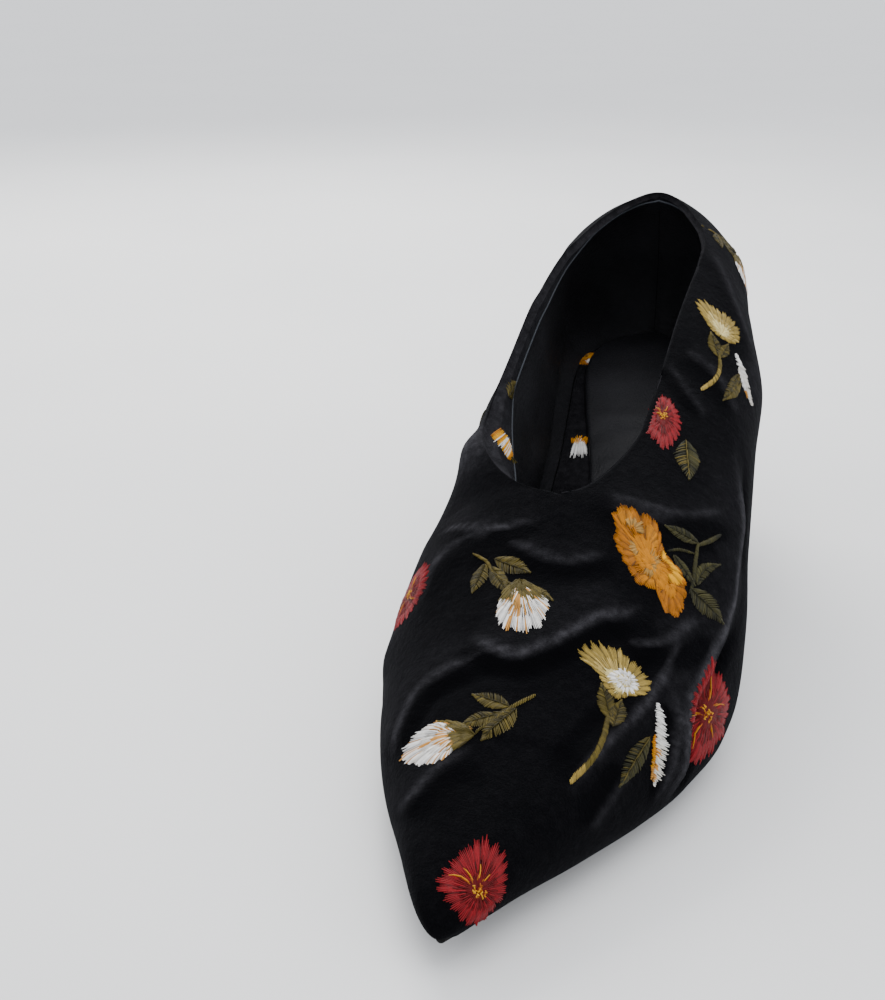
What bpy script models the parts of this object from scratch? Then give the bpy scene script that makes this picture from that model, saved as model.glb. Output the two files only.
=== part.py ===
"""Draped velvet pump, the left shoe of a pair, standing empty on a level floor.

The upper is one hollow shell over a pointed last: each cross-section runs from the
feather line, over the widest row, to the collar or, in front of the throat, to the ridge
of the instep. The outsole, the insole and the sock lining take their outline and their
height from the same tables. Metres, toe towards -Y, lateral side towards +X, floor at z=0.
The origin lies on the floor under the middle of the heel's base.
"""
import bpy
import bmesh
import numpy as np

for old in list(bpy.data.objects):
    bpy.data.objects.remove(old, do_unlink=True)

MM = 0.001

# Whole shoe
LENGTH = 262.0 * MM          # heel's back to toe's tip, along the floor
BALL_HALF = 34.0 * MM        # half width of the sole's outline at the ball
HEEL_RISE = 49.0 * MM        # heel seat above the forefoot's seat
TOE_SPRING = 5.0 * MM        # how far the toe's tip lifts
TIP_SHIFT = -10.0 * MM       # toe's tip, to the medial side of the heel's centre line
COLLAR_TOP = 108.0 * MM      # collar at the back, above the floor
BACK_LEAN = 15.0 * MM        # how far the collar leans forward of the heel's back
BACK_BULGE = 3.0 * MM        # how far the counter swells backward
THROAT = 0.600               # throat of the collar, share of the length
HEEL_ROUND = 0.135           # share of the length that the round of the heel takes
TIP_ROUND = 0.037            # share of the length that rounds the toe's tip
RIDGE_OFF = 0.15             # throat to the medial side of the middle, share of BALL_HALF
RIDGE_EASE = 0.18            # share of the length over which the ridge returns to the middle
LOW_SHARE = 0.22             # part of a section below the widest row

# Thicknesses and clearances
WALL = 1.8 * MM              # velvet, backing and leather lining
SOLE_THICK = 2.6 * MM        # leather outsole
SOLE_EDGE = 1.0 * MM         # outsole beyond the feather line
INSOLE_THICK = 2.0 * MM      # velvet-covered insole
SOCK_THICK = 2.2 * MM        # padded leather sock lining
SOCK_INSET = 3.4 * MM        # sock lining inside the insole's edge
FIT = 0.3 * MM               # gap between pieces
SOLID_TIP = 0.970            # share of the length where the hollow ends

# Heel
TIP_THICK = 6.0 * MM         # top piece
HEEL_BREAST = 0.200          # front of the heel at the seat, share of the length
BASE_BACK = 0.030            # back of the heel's base, share of the length
BASE_FRONT = 0.135           # front of the heel's base, share of the length
BASE_HALF = 13.5 * MM        # half width of the heel's base
HEEL_INSET = 1.5 * MM        # heel inside the outsole's edge
HEEL_BACK = LENGTH * (BASE_BACK + BASE_FRONT) / 2    # heel's back, behind the origin

# Sections of the upper. share: of the length. foot: half width at the feather line.
# lat, med: what the widest row adds on each side. All three are shares of BALL_HALF.
# tip: share of TIP_SHIFT. rise: share of HEEL_RISE. spring: share of TOE_SPRING.
# low: widest row above the feather line. ridge: ridge above the floor. Both are shares of
# COLLAR_TOP. full: 2 makes an ellipse, and more makes a squarer section.
SECTIONS = np.array([
    # share, foot, lat, med, tip, rise, spring, low, ridge, full
    [0.00, 0.660, 0.17, 0.17, 0.00, 1.02, 0.00, 0.168, 1.020, 2.60],
    [0.08, 0.690, 0.22, 0.20, 0.00, 1.00, 0.00, 0.168, 1.000, 2.60],
    [0.16, 0.680, 0.29, 0.23, 0.00, 0.97, 0.00, 0.168, 0.960, 2.60],
    [0.25, 0.630, 0.44, 0.28, 0.00, 0.87, 0.00, 0.168, 0.900, 2.60],
    [0.34, 0.590, 0.58, 0.35, 0.00, 0.70, 0.00, 0.168, 0.820, 2.60],
    [0.43, 0.600, 0.58, 0.42, 0.00, 0.49, 0.00, 0.160, 0.740, 2.60],
    [0.52, 0.730, 0.47, 0.42, 0.00, 0.28, 0.00, 0.140, 0.650, 2.60],
    [0.60, 0.900, 0.37, 0.36, 0.08, 0.12, 0.00, 0.120, 0.540, 2.50],
    [0.66, 0.985, 0.29, 0.28, 0.17, 0.02, 0.00, 0.105, 0.460, 2.40],
    [0.70, 0.985, 0.25, 0.25, 0.24, 0.00, 0.00, 0.096, 0.412, 2.35],
    [0.76, 0.890, 0.21, 0.21, 0.36, 0.00, 0.00, 0.086, 0.350, 2.35],
    [0.82, 0.725, 0.19, 0.19, 0.53, 0.00, 0.18, 0.078, 0.296, 2.35],
    [0.88, 0.510, 0.17, 0.17, 0.70, 0.00, 0.42, 0.070, 0.247, 2.35],
    [0.94, 0.275, 0.14, 0.14, 0.86, 0.00, 0.71, 0.065, 0.200, 2.35],
    [1.00, 0.083, 0.11, 0.11, 1.00, 0.00, 1.00, 0.056, 0.155, 2.35]])
SHARE, FOOT, LAT, MED, TIP, RISE, SPRING, LOW, RIDGE, FULL = range(10)

# Collar. share: of the length. high: share of COLLAR_TOP. lateral, medial: how far each
# edge lies out from the middle, shares of BALL_HALF.
COLLAR = np.array([
    # share, high, lateral, medial
    [0.000, 1.000, 0.25, 0.25],
    [0.020, 0.996, 0.26, 0.26],
    [0.040, 0.988, 0.295, 0.30],
    [0.060, 0.979, 0.33, 0.35],
    [0.080, 0.968, 0.36, 0.39],
    [0.100, 0.957, 0.40, 0.43],
    [0.140, 0.937, 0.48, 0.52],
    [0.180, 0.914, 0.53, 0.61],
    [0.220, 0.889, 0.52, 0.70],
    [0.270, 0.854, 0.48, 0.765],
    [0.330, 0.802, 0.43, 0.82],
    [0.400, 0.722, 0.38, 0.88],
    [0.460, 0.660, 0.335, 0.905],
    [0.505, 0.618, 0.30, 0.895],
    [0.540, 0.588, 0.21, 0.83],
    [0.565, 0.569, 0.125, 0.72],
    [0.585, 0.553, 0.03, 0.54],
    [0.596, 0.543, -0.07, 0.36],
    [0.600, 0.540, -0.15, 0.15]])
HIGH, EDGE_LAT, EDGE_MED = 1, 2, 3

# Profile of the heel between its seat and its base. down: share of the way down.
# blend: how far the outline has gone from the seat's to the base's.
HEEL_PROFILE = np.array([
    # down, blend
    [0.00, 0.00],
    [0.12, 0.24],
    [0.28, 0.52],
    [0.46, 0.76],
    [0.66, 0.93],
    [0.84, 0.99],
    [1.00, 1.00]])

TREAD = (0.70, 0.76)         # where the sole lies flat on the floor, shares of the length
LATERAL, MEDIAL = 1, -1
STATIONS_BACK, STATIONS_FRONT = 24, 20
ROWS_LOW, ROWS_HIGH = 4, 12
HEEL_AROUND = 32


def curve(table, col, share):
    """Cubic through one column of a table, slopes limited so that it never overshoots."""
    x, y = table[:, 0], table[:, col]
    step = np.diff(x)
    slope = np.diff(y) / step
    m = np.zeros_like(y)
    same = slope[:-1] * slope[1:] > 0
    w1, w2 = 2 * step[1:] + step[:-1], step[1:] + 2 * step[:-1]
    top = np.where(same, (w1 + w2) * slope[:-1] * slope[1:], 0.0)
    m[1:-1] = top / np.where(same, w1 * slope[1:] + w2 * slope[:-1], 1.0)
    m[0], m[-1] = slope[0], slope[-1]
    s = np.clip(share, x[0], x[-1])
    i = np.clip(np.searchsorted(x, s, side="right") - 1, 0, len(x) - 2)
    t = (s - x[i]) / step[i]
    return ((1 + 2 * t) * (1 - t) ** 2 * y[i] + t * (1 - t) ** 2 * step[i] * m[i]
            + t * t * (3 - 2 * t) * y[i + 1] + t * t * (t - 1) * step[i] * m[i + 1])


def heel_round(s, inset=0.0):
    """Quarter ellipse by which the plan outline opens from the heel's back."""
    reach = HEEL_ROUND - inset / LENGTH
    return np.sqrt(np.clip(1 - (np.clip(HEEL_ROUND - s, 0, reach) / reach) ** 2, 0, 1))


def tip_round(s):
    """Hyperbola by which the plan outline opens from the toe's tip."""
    t = 1 - s
    return np.sqrt(np.clip(t * t + 2 * TIP_ROUND * t, 0, None)) / (t + TIP_ROUND)


def seat(s):
    """Height of the feather line, which is also the top of the outsole."""
    return SOLE_THICK + curve(SECTIONS, RISE, s) * HEEL_RISE + curve(SECTIONS, SPRING, s) * TOE_SPRING


def middle(s):
    """Centre line's x, which swings to the medial side at the toe."""
    return curve(SECTIONS, TIP, s) * TIP_SHIFT


def shell(s, v, side, inset=0.0):
    """Points of the upper at stations s and rows v: 0 the feather line, 1 the collar or ridge.

    The inner face is the same form with every half width and height less by inset.
    """
    s = np.asarray(s, float)[:, None]
    v = np.asarray(v, float)[None, :]
    heel, tip = heel_round(s, inset), tip_round(s)
    more = curve(SECTIONS, LAT if side == LATERAL else MED, s)
    foot = (curve(SECTIONS, FOOT, s) * BALL_HALF * tip - inset) * heel
    wide = ((curve(SECTIONS, FOOT, s) + more) * BALL_HALF * tip - inset) * heel
    base = seat(s)
    bottom = base + inset
    widest = base + curve(SECTIONS, LOW, s) * COLLAR_TOP * tip
    full = curve(SECTIONS, FULL, s)
    behind = s < THROAT
    edge = curve(COLLAR, EDGE_LAT if side == LATERAL else EDGE_MED, s) * BALL_HALF * heel_round(s)
    collar = curve(COLLAR, HIGH, s) * COLLAR_TOP
    ridge = base + (curve(SECTIONS, RIDGE, s) * COLLAR_TOP - base) * np.where(s > 0.85, tip, 1.0)
    near = np.clip(1 - np.abs(s - THROAT) / RIDGE_EASE, 0, 1)
    off = -side * RIDGE_OFF * BALL_HALF * near ** 2 * (3 - 2 * near)
    outer_wide = (curve(SECTIONS, FOOT, s) + more) * BALL_HALF * tip * heel_round(s)
    u = np.where(behind, np.clip((edge - off) / np.maximum(outer_wide - off, 1e-6), 0.0, 0.97), 0.0)
    height = np.where(behind, (collar - widest) / (1 - u ** full) ** (1 / full), ridge - widest)
    last = np.where(behind, np.arccos(np.clip(u ** (full / 2), 0, 1)), np.pi / 2)
    b = np.clip(v / LOW_SHARE, 0, 1) * np.pi / 2
    a = np.clip((v - LOW_SHARE) / (1 - LOW_SHARE), 0, 1) * last
    cos_a = np.clip(np.cos(a), 0, 1)
    w_low = foot + (wide - foot) * np.sin(b)
    z_low = bottom + (widest - bottom) * (1 - np.cos(b))
    w_high = off + (wide - off) * cos_a ** (2 / full)
    z_high = widest + (height - inset) * np.sin(a) ** (2 / full)
    w = np.where(v < LOW_SHARE, w_low, w_high)
    z = np.where(v < LOW_SHARE, z_low, z_high)
    seat_top = SOLE_THICK + HEEL_RISE
    up = np.clip((z - seat_top) / (COLLAR_TOP - seat_top), 0, 1)
    fade = np.clip(1 - s / 0.3, 0, 1) ** 2
    y = HEEL_BACK - s * LENGTH + (BACK_BULGE * np.sin(np.pi * up) - BACK_LEAN * up ** 2) * fade
    return np.stack([middle(s) + side * w, y + 0 * w, z], -1)


def plank(s, grow, low, high):
    """Four corners at each station of a flat piece that follows the foot bed.

    grow is added to the feather line's half width; low and high are heights above the seat.
    """
    half = np.maximum((curve(SECTIONS, FOOT, s) * BALL_HALF * tip_round(s) + grow), 0.0)
    half = half * heel_round(s, max(-grow, 0.0)) + max(grow, 0.0) * (1 - heel_round(s))
    x, y, z = middle(s), HEEL_BACK - s * LENGTH, seat(s)
    corners = [(LATERAL, low), (LATERAL, high), (MEDIAL, high), (MEDIAL, low)]
    return np.stack([np.stack([x + side * half, y, z + h], -1) for side, h in corners], 1)


def material(name, colour, rough, coat=0.0):
    mat = bpy.data.materials.new(name)
    mat.use_nodes = True
    shader = mat.node_tree.nodes["Principled BSDF"]
    shader.inputs["Base Color"].default_value = (*colour, 1.0)
    shader.inputs["Roughness"].default_value = rough
    shader.inputs["Metallic"].default_value = 0.0
    shader.inputs["Coat Weight"].default_value = coat
    mat.diffuse_color = (*colour, 1.0)
    return mat


def add_solid(name, verts, faces, mat):
    """Make an object of a closed surface: coincident points welded, normals outwards."""
    mesh = bpy.data.meshes.new(name)
    bm = bmesh.new()
    points = [bm.verts.new(p) for p in verts]
    for face in faces:
        bm.faces.new([points[i] for i in face])
    bmesh.ops.remove_doubles(bm, verts=bm.verts, dist=0.00002)
    bmesh.ops.dissolve_degenerate(bm, edges=bm.edges, dist=0.00001)
    bmesh.ops.triangulate(bm, faces=bm.faces)
    bmesh.ops.recalc_face_normals(bm, faces=bm.faces)
    bm.to_mesh(mesh)
    bm.free()
    mesh.materials.append(mat)
    obj = bpy.data.objects.new(name, mesh)
    shoe.objects.link(obj)
    return obj


def grid_faces(index, flip=False):
    """Quads over a grid of vertex numbers."""
    a, b, c, d = index[:-1, :-1], index[1:, :-1], index[1:, 1:], index[:-1, 1:]
    quads = np.stack([a, b, c, d], -1).reshape(-1, 4)
    return [tuple(int(i) for i in (q[::-1] if flip else q)) for q in quads]


def station_shares():
    """Stations from heel to toe, closer together at the heel, the throat and the tip."""
    back = THROAT * 0.5 * (1 - np.cos(np.pi * np.linspace(0, 1, STATIONS_BACK + 1)))
    front = np.sin(np.pi / 2 * np.linspace(0, 1, STATIONS_FRONT + 1)[1:])
    return np.sort(np.concatenate([back, TREAD, THROAT + (1 - THROAT) * front]))


def inner_shares(s):
    """The same stations drawn in, so that the hollow stops short of the heel's back and the tip."""
    near, far = 0.2, 0.8
    first = WALL / LENGTH
    behind = first + s * (near - first) / near
    ahead = far + (s - far) * (SOLID_TIP - far) / (1 - far)
    return np.where(s < near, behind, np.where(s > far, ahead, s))


def build_upper(mat):
    """Outer and inner face of each side, joined at the collar, the ridge and the feather line."""
    s = station_shares()
    s_in = inner_shares(s)
    v = np.concatenate([np.linspace(0, LOW_SHARE, ROWS_LOW + 1)[:-1],
                        np.linspace(LOW_SHARE, 1, ROWS_HIGH + 1)])
    throat = STATIONS_BACK
    verts, faces, last_rows = [], [], {}
    count = 0
    for side in (LATERAL, MEDIAL):
        outer = shell(s, v, side)
        outer[:, 0, 2] += FIT
        outer[-1] = outer[-1].mean(0)
        inner = shell(s_in, v, side, WALL)
        margin = inner[:, :1].copy()
        margin[:, 0, 2] = seat(s_in) + FIT
        loop = np.concatenate([outer, inner[:, ::-1], margin], 1)
        index = count + np.arange(loop.shape[0] * loop.shape[1]).reshape(loop.shape[:2])
        count += index.size
        verts.append(loop.reshape(-1, 3))
        rows = len(v)
        flip = side == MEDIAL
        faces += grid_faces(index[:, :rows], flip)
        faces += grid_faces(index[:, rows:2 * rows], flip)
        faces += grid_faces(index[:throat + 1, rows - 1:rows + 1], flip)
        faces += grid_faces(index[:, 2 * rows - 1:], flip)
        faces += grid_faces(index[:, [2 * rows, 0]], flip)
        last_rows[side] = (index[-1, rows:], index[-1, 0])
    lat, tip = last_rows[LATERAL]
    med, _ = last_rows[MEDIAL]
    cap = [int(i) for i in lat] + [int(i) for i in med[::-1]]
    faces.append(tuple(cap))
    faces.append((int(lat[-1]), int(tip), int(med[-1])))
    return add_solid("upper", np.concatenate(verts), faces, mat)


def build_plank(name, mat, s, grow, low, high, nose=0.0):
    """A flat piece lofted along the foot bed; nose closes its two ends to a point beyond them."""
    ring = plank(s, grow, low, high)
    if nose:
        ends = ring[[0, -1]].copy()
        ends[:, :, 0] = middle(s[[0, -1]])[:, None]
        ends[0, :, 1] += nose
        ends[1, :, 1] -= nose
        ring = np.concatenate([ends[:1], ring, ends[1:]])
    index = np.arange(ring.shape[0] * 4).reshape(-1, 4)
    faces = grid_faces(np.concatenate([index, index[:, :1]], 1))
    faces.append(tuple(int(i) for i in index[0]))
    faces.append(tuple(int(i) for i in index[-1]))
    return add_solid(name, ring.reshape(-1, 3), faces, mat)


def heel_outlines():
    """Plan outlines of the heel's seat and base, point for point, starting at the back."""
    turn = np.linspace(0, 2 * np.pi, HEEL_AROUND, endpoint=False)
    way = 0.5 * (1 - np.cos(turn))
    side = np.where(turn <= np.pi, LATERAL, MEDIAL)
    half = curve(SECTIONS, FOOT, way * HEEL_BREAST) * BALL_HALF - HEEL_INSET
    inset = HEEL_INSET / LENGTH
    s = inset + way * (HEEL_BREAST - inset)
    breast = np.clip((1 - way) / 0.12, 0, 1) ** 0.5
    top = np.stack([side * half * heel_round(s, HEEL_INSET) * breast, HEEL_BACK - s * LENGTH], -1)
    fore = BASE_BACK + (BASE_FRONT - BASE_BACK) * way
    round_share = np.clip(1 - np.abs(2 * way - 1) ** 3.2, 0, 1) ** 0.4
    low = np.stack([side * BASE_HALF * round_share, HEEL_BACK - fore * LENGTH], -1)
    return top, low


def build_heel(mat, tip_mat):
    """Covered heel, curving in from the seat to its base, and the top piece below it."""
    top, low = heel_outlines()
    z_top = seat((HEEL_BACK - top[:, 1]) / LENGTH) - SOLE_THICK - FIT
    z_low = TIP_THICK + FIT
    down = HEEL_PROFILE[:, 0][:, None]
    blend = HEEL_PROFILE[:, 1][:, None]
    x = top[None, :, 0] * (1 - blend) + low[None, :, 0] * blend
    y = top[None, :, 1] * (1 - blend) + low[None, :, 1] * blend
    z = z_top[None, :] * (1 - down) + z_low * down
    rings = np.stack([x, y, z], -1)
    index = np.arange(rings.shape[0] * HEEL_AROUND).reshape(rings.shape[:2])
    faces = grid_faces(np.concatenate([index, index[:, :1]], 1))
    faces.append(tuple(int(i) for i in index[0]))
    faces.append(tuple(int(i) for i in index[-1]))
    add_solid("heel", rings.reshape(-1, 3), faces, mat)
    tip = np.stack([np.column_stack([low, np.full(HEEL_AROUND, h)]) for h in (0.0, TIP_THICK)])
    index = np.arange(2 * HEEL_AROUND).reshape(2, HEEL_AROUND)
    faces = grid_faces(np.concatenate([index, index[:, :1]], 1))
    faces.append(tuple(int(i) for i in index[0]))
    faces.append(tuple(int(i) for i in index[1]))
    add_solid("top_piece", tip.reshape(-1, 3), faces, tip_mat)


shoe = bpy.data.collections.new("velvet_pump")
bpy.context.scene.collection.children.link(shoe)

velvet = material("velvet", (0.018, 0.017, 0.024), 0.85)
leather = material("leather", (0.030, 0.030, 0.033), 0.42)
sole_leather = material("sole_leather", (0.022, 0.020, 0.020), 0.38)
tip_rubber = material("tip_rubber", (0.020, 0.020, 0.020), 0.60)

build_upper(velvet)
stations = station_shares()
build_plank("outsole", sole_leather, stations, SOLE_EDGE, -SOLE_THICK, 0.0, nose=SOLE_EDGE)
bed = WALL + FIT
bed_shares = np.linspace(bed / LENGTH, SOLID_TIP - 0.012, 40)
build_plank("insole", velvet, bed_shares, -bed, FIT, FIT + INSOLE_THICK)
pad = bed + SOCK_INSET
pad_base = 2 * FIT + INSOLE_THICK
pad_shares = np.linspace(pad / LENGTH, 0.66, 30)
build_plank("sock_lining", leather, pad_shares, -pad, pad_base, pad_base + SOCK_THICK)
build_heel(velvet, tip_rubber)
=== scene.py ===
# %% [markdown]
# A woman's pump in black velvet, draped softly over a pointed last and sewn with small
# silk sprigs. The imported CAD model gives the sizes: the form of the last, the thickness of
# the sole, the block heel and the line of the collar. This script dresses that model.

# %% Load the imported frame
import bpy
import bmesh
import numpy as np
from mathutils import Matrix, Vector


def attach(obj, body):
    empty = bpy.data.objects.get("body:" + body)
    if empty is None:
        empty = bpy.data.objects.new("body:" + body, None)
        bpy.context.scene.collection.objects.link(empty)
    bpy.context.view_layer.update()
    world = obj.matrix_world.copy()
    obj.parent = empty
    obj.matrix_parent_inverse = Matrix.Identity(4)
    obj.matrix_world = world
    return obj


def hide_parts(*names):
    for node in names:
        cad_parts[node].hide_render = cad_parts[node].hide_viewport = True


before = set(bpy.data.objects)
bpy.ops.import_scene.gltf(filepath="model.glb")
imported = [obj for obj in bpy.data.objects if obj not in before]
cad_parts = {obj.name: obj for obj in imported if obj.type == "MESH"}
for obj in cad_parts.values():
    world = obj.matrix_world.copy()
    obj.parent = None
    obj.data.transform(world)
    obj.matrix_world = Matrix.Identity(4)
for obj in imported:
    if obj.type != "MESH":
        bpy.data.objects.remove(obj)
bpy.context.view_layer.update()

MM = 0.001

# %% [markdown]
# The floor, the light and the camera come first. The shoe was photographed from the front
# and a little from the lateral side, from above, under one broad soft light with pale
# surroundings. The lens was found by fitting the outline of the last to the photograph.

# %% Camera, light and floor
EYE = (0.04007, -0.42487, 0.18291)
AIM = (-0.04406, -0.10732, 0.04000)
LENS, SENSOR = 45.92, 36.0

cam_data = bpy.data.cameras.new("camera")
cam_data.lens, cam_data.sensor_width = LENS, SENSOR
cam_data.clip_start = 0.01
camera = bpy.data.objects.new("camera", cam_data)
camera.location = EYE
camera.rotation_euler = (Vector(AIM) - Vector(EYE)).to_track_quat("-Z", "Y").to_euler()
bpy.context.scene.collection.objects.link(camera)
bpy.context.scene.camera = camera


def soft_light(name, place, aim, size, watts, colour):
    """Square area light at place, turned towards aim."""
    data = bpy.data.lights.new(name, "AREA")
    data.shape, data.size, data.energy, data.color = "SQUARE", size, watts, colour
    lamp = bpy.data.objects.new(name, data)
    lamp.location = place
    lamp.rotation_euler = (Vector(aim) - Vector(place)).to_track_quat("-Z", "Y").to_euler()
    bpy.context.scene.collection.objects.link(lamp)
    return lamp


SHOE_MIDDLE = (-0.01, -0.11, 0.03)
soft_light("key", (-0.40, 0.50, 0.62), SHOE_MIDDLE, 0.45, 9.0, (1.0, 0.99, 0.97))
soft_light("overhead", (0.10, -0.15, 0.95), SHOE_MIDDLE, 0.70, 5.0, (1.0, 1.0, 1.0))
soft_light("side_fill", (0.80, -0.25, 0.40), SHOE_MIDDLE, 0.50, 1.5, (0.96, 0.98, 1.0))

world = bpy.data.worlds.new("studio")
world.use_nodes = True
world.node_tree.nodes["Background"].inputs["Color"].default_value = (0.93, 0.95, 1.0, 1.0)
world.node_tree.nodes["Background"].inputs["Strength"].default_value = 2.1
bpy.context.scene.world = world

# %% [markdown]
# The materials follow. Velvet is a pile of short standing fibres: it looks black where one
# looks into it and pale where it is seen or lit along the surface, so it has a strong sheen
# over a nearly black base. Its base colour also carries painted light: painted highlight on
# the fold crests, the folded edge and raised puffs, and painted shade in the creases. An
# attribute of the points, worked out with the folds, says where that is.


# %% Small helpers for materials
class Nodes:
    """Short names for adding and joining shader nodes of one material."""

    def __init__(self, name):
        self.mat = bpy.data.materials.new(name)
        self.mat.use_nodes = True
        self.tree = self.mat.node_tree
        self.shader = self.tree.nodes["Principled BSDF"]
        self.coords = self.tree.nodes.new("ShaderNodeTexCoord").outputs["Object"]

    def link(self, out, socket):
        self.tree.links.new(out, socket)

    def add(self, kind, **values):
        """Add a node; values go to its sockets by name, and sockets given are linked."""
        node = self.tree.nodes.new(kind)
        for key, value in values.items():
            socket = node.inputs[key.replace("_", " ")]
            if isinstance(value, bpy.types.NodeSocket):
                self.link(value, socket)
            else:
                socket.default_value = value
        return node

    def noise(self, scale, detail=3.0, rough=0.55):
        """Cloudy noise on the piece's own coordinates, about 0.3 to 0.7."""
        return self.add("ShaderNodeTexNoise", Vector=self.coords, Scale=scale,
                        Detail=detail, Roughness=rough).outputs["Fac"]

    def cells(self, scale):
        """Distance to the nearest of many scattered points, as in pebbled leather."""
        return self.add("ShaderNodeTexVoronoi", Vector=self.coords, Scale=scale).outputs["Distance"]

    def maths(self, operation, a, b):
        """One sum or product of two values."""
        node = self.tree.nodes.new("ShaderNodeMath")
        node.operation = operation
        self.link(a, node.inputs[0])
        self.link(b, node.inputs[1])
        return node.outputs[0]

    def span(self, value, low, high, to_low, to_high):
        """Map value from low..high to to_low..to_high, clamped."""
        node = self.tree.nodes.new("ShaderNodeMapRange")
        self.link(value, node.inputs["Value"])
        for key, number in zip(("From Min", "From Max", "To Min", "To Max"),
                               (low, high, to_low, to_high)):
            node.inputs[key].default_value = number
        return node.outputs["Result"]

    def blend(self, share, a, b):
        """Colour a where share is 0 and b where it is 1."""
        node = self.tree.nodes.new("ShaderNodeMix")
        node.data_type = "RGBA"
        for socket, value in zip((node.inputs[0], node.inputs[6], node.inputs[7]), (share, a, b)):
            if isinstance(value, bpy.types.NodeSocket):
                self.link(value, socket)
            elif isinstance(value, tuple):
                socket.default_value = (*value, 1.0)
            else:
                socket.default_value = value
        return node.outputs[2]

    def attribute(self, name, output="Fac"):
        """Value that the piece's own points carry."""
        node = self.tree.nodes.new("ShaderNodeAttribute")
        node.attribute_name = name
        return node.outputs[output]

    def bump(self, height, depth, strength, below=None):
        """Fine relief, depth metres high, laid over the relief below it."""
        node = self.add("ShaderNodeBump", Height=height, Distance=depth, Strength=strength)
        if below:
            self.link(below, node.inputs["Normal"])
        return node.outputs["Normal"]

    def set(self, **values):
        """Put values, or links, on the shader's own sockets."""
        for key, value in values.items():
            socket = self.shader.inputs[key.replace("_", " ")]
            if isinstance(value, bpy.types.NodeSocket):
                self.link(value, socket)
            else:
                socket.default_value = (*value, 1.0) if isinstance(value, tuple) else value


# %% Velvet, leathers and rubber
def velvet_finish(name):
    """Black pile with a cool sheen; its base colour carries painted highlight and shade from the points'
    attribute, and is mottled.
    """
    n = Nodes(name)
    cloud = n.noise(90.0, 4.0, 0.6)
    mottle = n.noise(430.0, 4.0, 0.65)
    pile = n.noise(2600.0, 2.0, 0.7)
    painted_light = n.attribute("painted_light")
    mottled_light = n.maths("MULTIPLY", painted_light, n.span(cloud, 0.3, 0.7, 0.50, 1.20))
    mottled_light = n.maths("MULTIPLY", mottled_light, n.span(mottle, 0.3, 0.7, 0.45, 1.55))
    speck = n.maths("ADD", n.span(pile, 0.35, 0.75, 0.0, 0.32), n.span(mottle, 0.48, 0.72, 0.0, 0.22))
    share = n.maths("ADD", mottled_light, n.maths("MULTIPLY", speck, n.span(painted_light, 0.0, 0.6, 0.12, 0.7)))
    # base colour runs from near black to pale grey with the painted light share: painted highlight on crests
    # and edges, painted shade in creases
    n.set(Base_Color=n.blend(share, (0.0008, 0.0008, 0.0011), (0.034, 0.033, 0.037)),
          Roughness=n.span(cloud, 0.3, 0.7, 0.85, 0.97),
          Sheen_Weight=0.014, Sheen_Roughness=0.40, Sheen_Tint=(0.80, 0.82, 0.95),
          Specular_IOR_Level=0.02,
          Normal=n.bump(pile, 0.00035, 0.7, n.bump(mottle, 0.0010, 0.55, n.bump(cloud, 0.0015, 0.35))))
    return n.mat


def leather_finish(name, colour, pale, grain, rough, gloss):
    """Leather with a fine pebble grain, a little paler in cloudy worn patches speckled by fine noise."""
    n = Nodes(name)
    pebble = n.cells(grain)
    pores = n.noise(grain * 2.3, 3.0)
    wear = n.noise(38.0, 3.0)
    share = n.maths("MULTIPLY", n.span(wear, 0.42, 0.68, 0.0, 0.7), n.span(pores, 0.3, 0.7, 0.5, 1.0))
    n.set(Base_Color=n.blend(share, colour, pale),
          Roughness=n.span(pores, 0.3, 0.7, rough, rough + 0.14),
          Specular_IOR_Level=gloss,
          Normal=n.bump(pebble, 0.00022, 0.6, n.bump(wear, 0.0012, 0.3)))
    return n.mat


def rubber_finish(name):
    """Dense black rubber of the top piece, matt, with a moulded fine grain."""
    n = Nodes(name)
    grain = n.noise(1500.0, 3.0)
    dust = n.noise(160.0, 3.0)
    n.set(Base_Color=n.blend(n.span(dust, 0.5, 0.8, 0.0, 1.0), (0.006, 0.006, 0.007), (0.020, 0.020, 0.020)),
          Roughness=n.span(grain, 0.3, 0.7, 0.62, 0.78), Specular_IOR_Level=0.2,
          Normal=n.bump(grain, 0.00012, 0.5))
    return n.mat


def floor_finish(name):
    """Pale plain floor with the faintest cloudiness."""
    n = Nodes(name)
    cloud = n.noise(5.0, 4.0)
    n.set(Base_Color=n.blend(n.span(cloud, 0.35, 0.7, 0.0, 1.0), (0.545, 0.545, 0.540),
                             (0.580, 0.578, 0.570)),
          Roughness=n.span(cloud, 0.3, 0.7, 0.50, 0.60), Specular_IOR_Level=0.3)
    return n.mat


# %% Make the finishes and the floor
velvet = velvet_finish("velvet")
lining_leather = leather_finish("lining_leather", (0.005, 0.005, 0.006), (0.013, 0.013, 0.015),
                                1050.0, 0.52, 0.16)
sock_leather = leather_finish("sock_leather", (0.002, 0.002, 0.003), (0.008, 0.008, 0.010),
                              1500.0, 0.52, 0.16)
sole_leather = leather_finish("sole_leather", (0.002, 0.002, 0.002), (0.006, 0.005, 0.005),
                              700.0, 0.50, 0.06)
edge_leather = leather_finish("edge_leather", (0.020, 0.023, 0.028), (0.050, 0.055, 0.066),
                              1600.0, 0.60, 0.2)
rubber = rubber_finish("tip_rubber")

floor_mesh = bpy.data.meshes.new("floor")
FLOOR_HALF = 6.0
corner = np.array([[-1, -1, 0], [1, -1, 0], [1, 1, 0], [-1, 1, 0]]) * FLOOR_HALF
floor_mesh.from_pydata(corner.tolist(), [], [(0, 1, 2, 3)])
floor_mesh.materials.append(floor_finish("floor"))
floor = bpy.data.objects.new("floor", floor_mesh)
bpy.context.scene.collection.objects.link(floor)
print("materials:", len(bpy.data.materials))

# %% [markdown]
# The last comes next. A shoe is shaped over a last, and every piece here takes its place
# from it. The tables repeat the CAD's: along the length they give the half width at the
# feather line, how far each side swells above it, the height of the ridge, and the collar.

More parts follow.
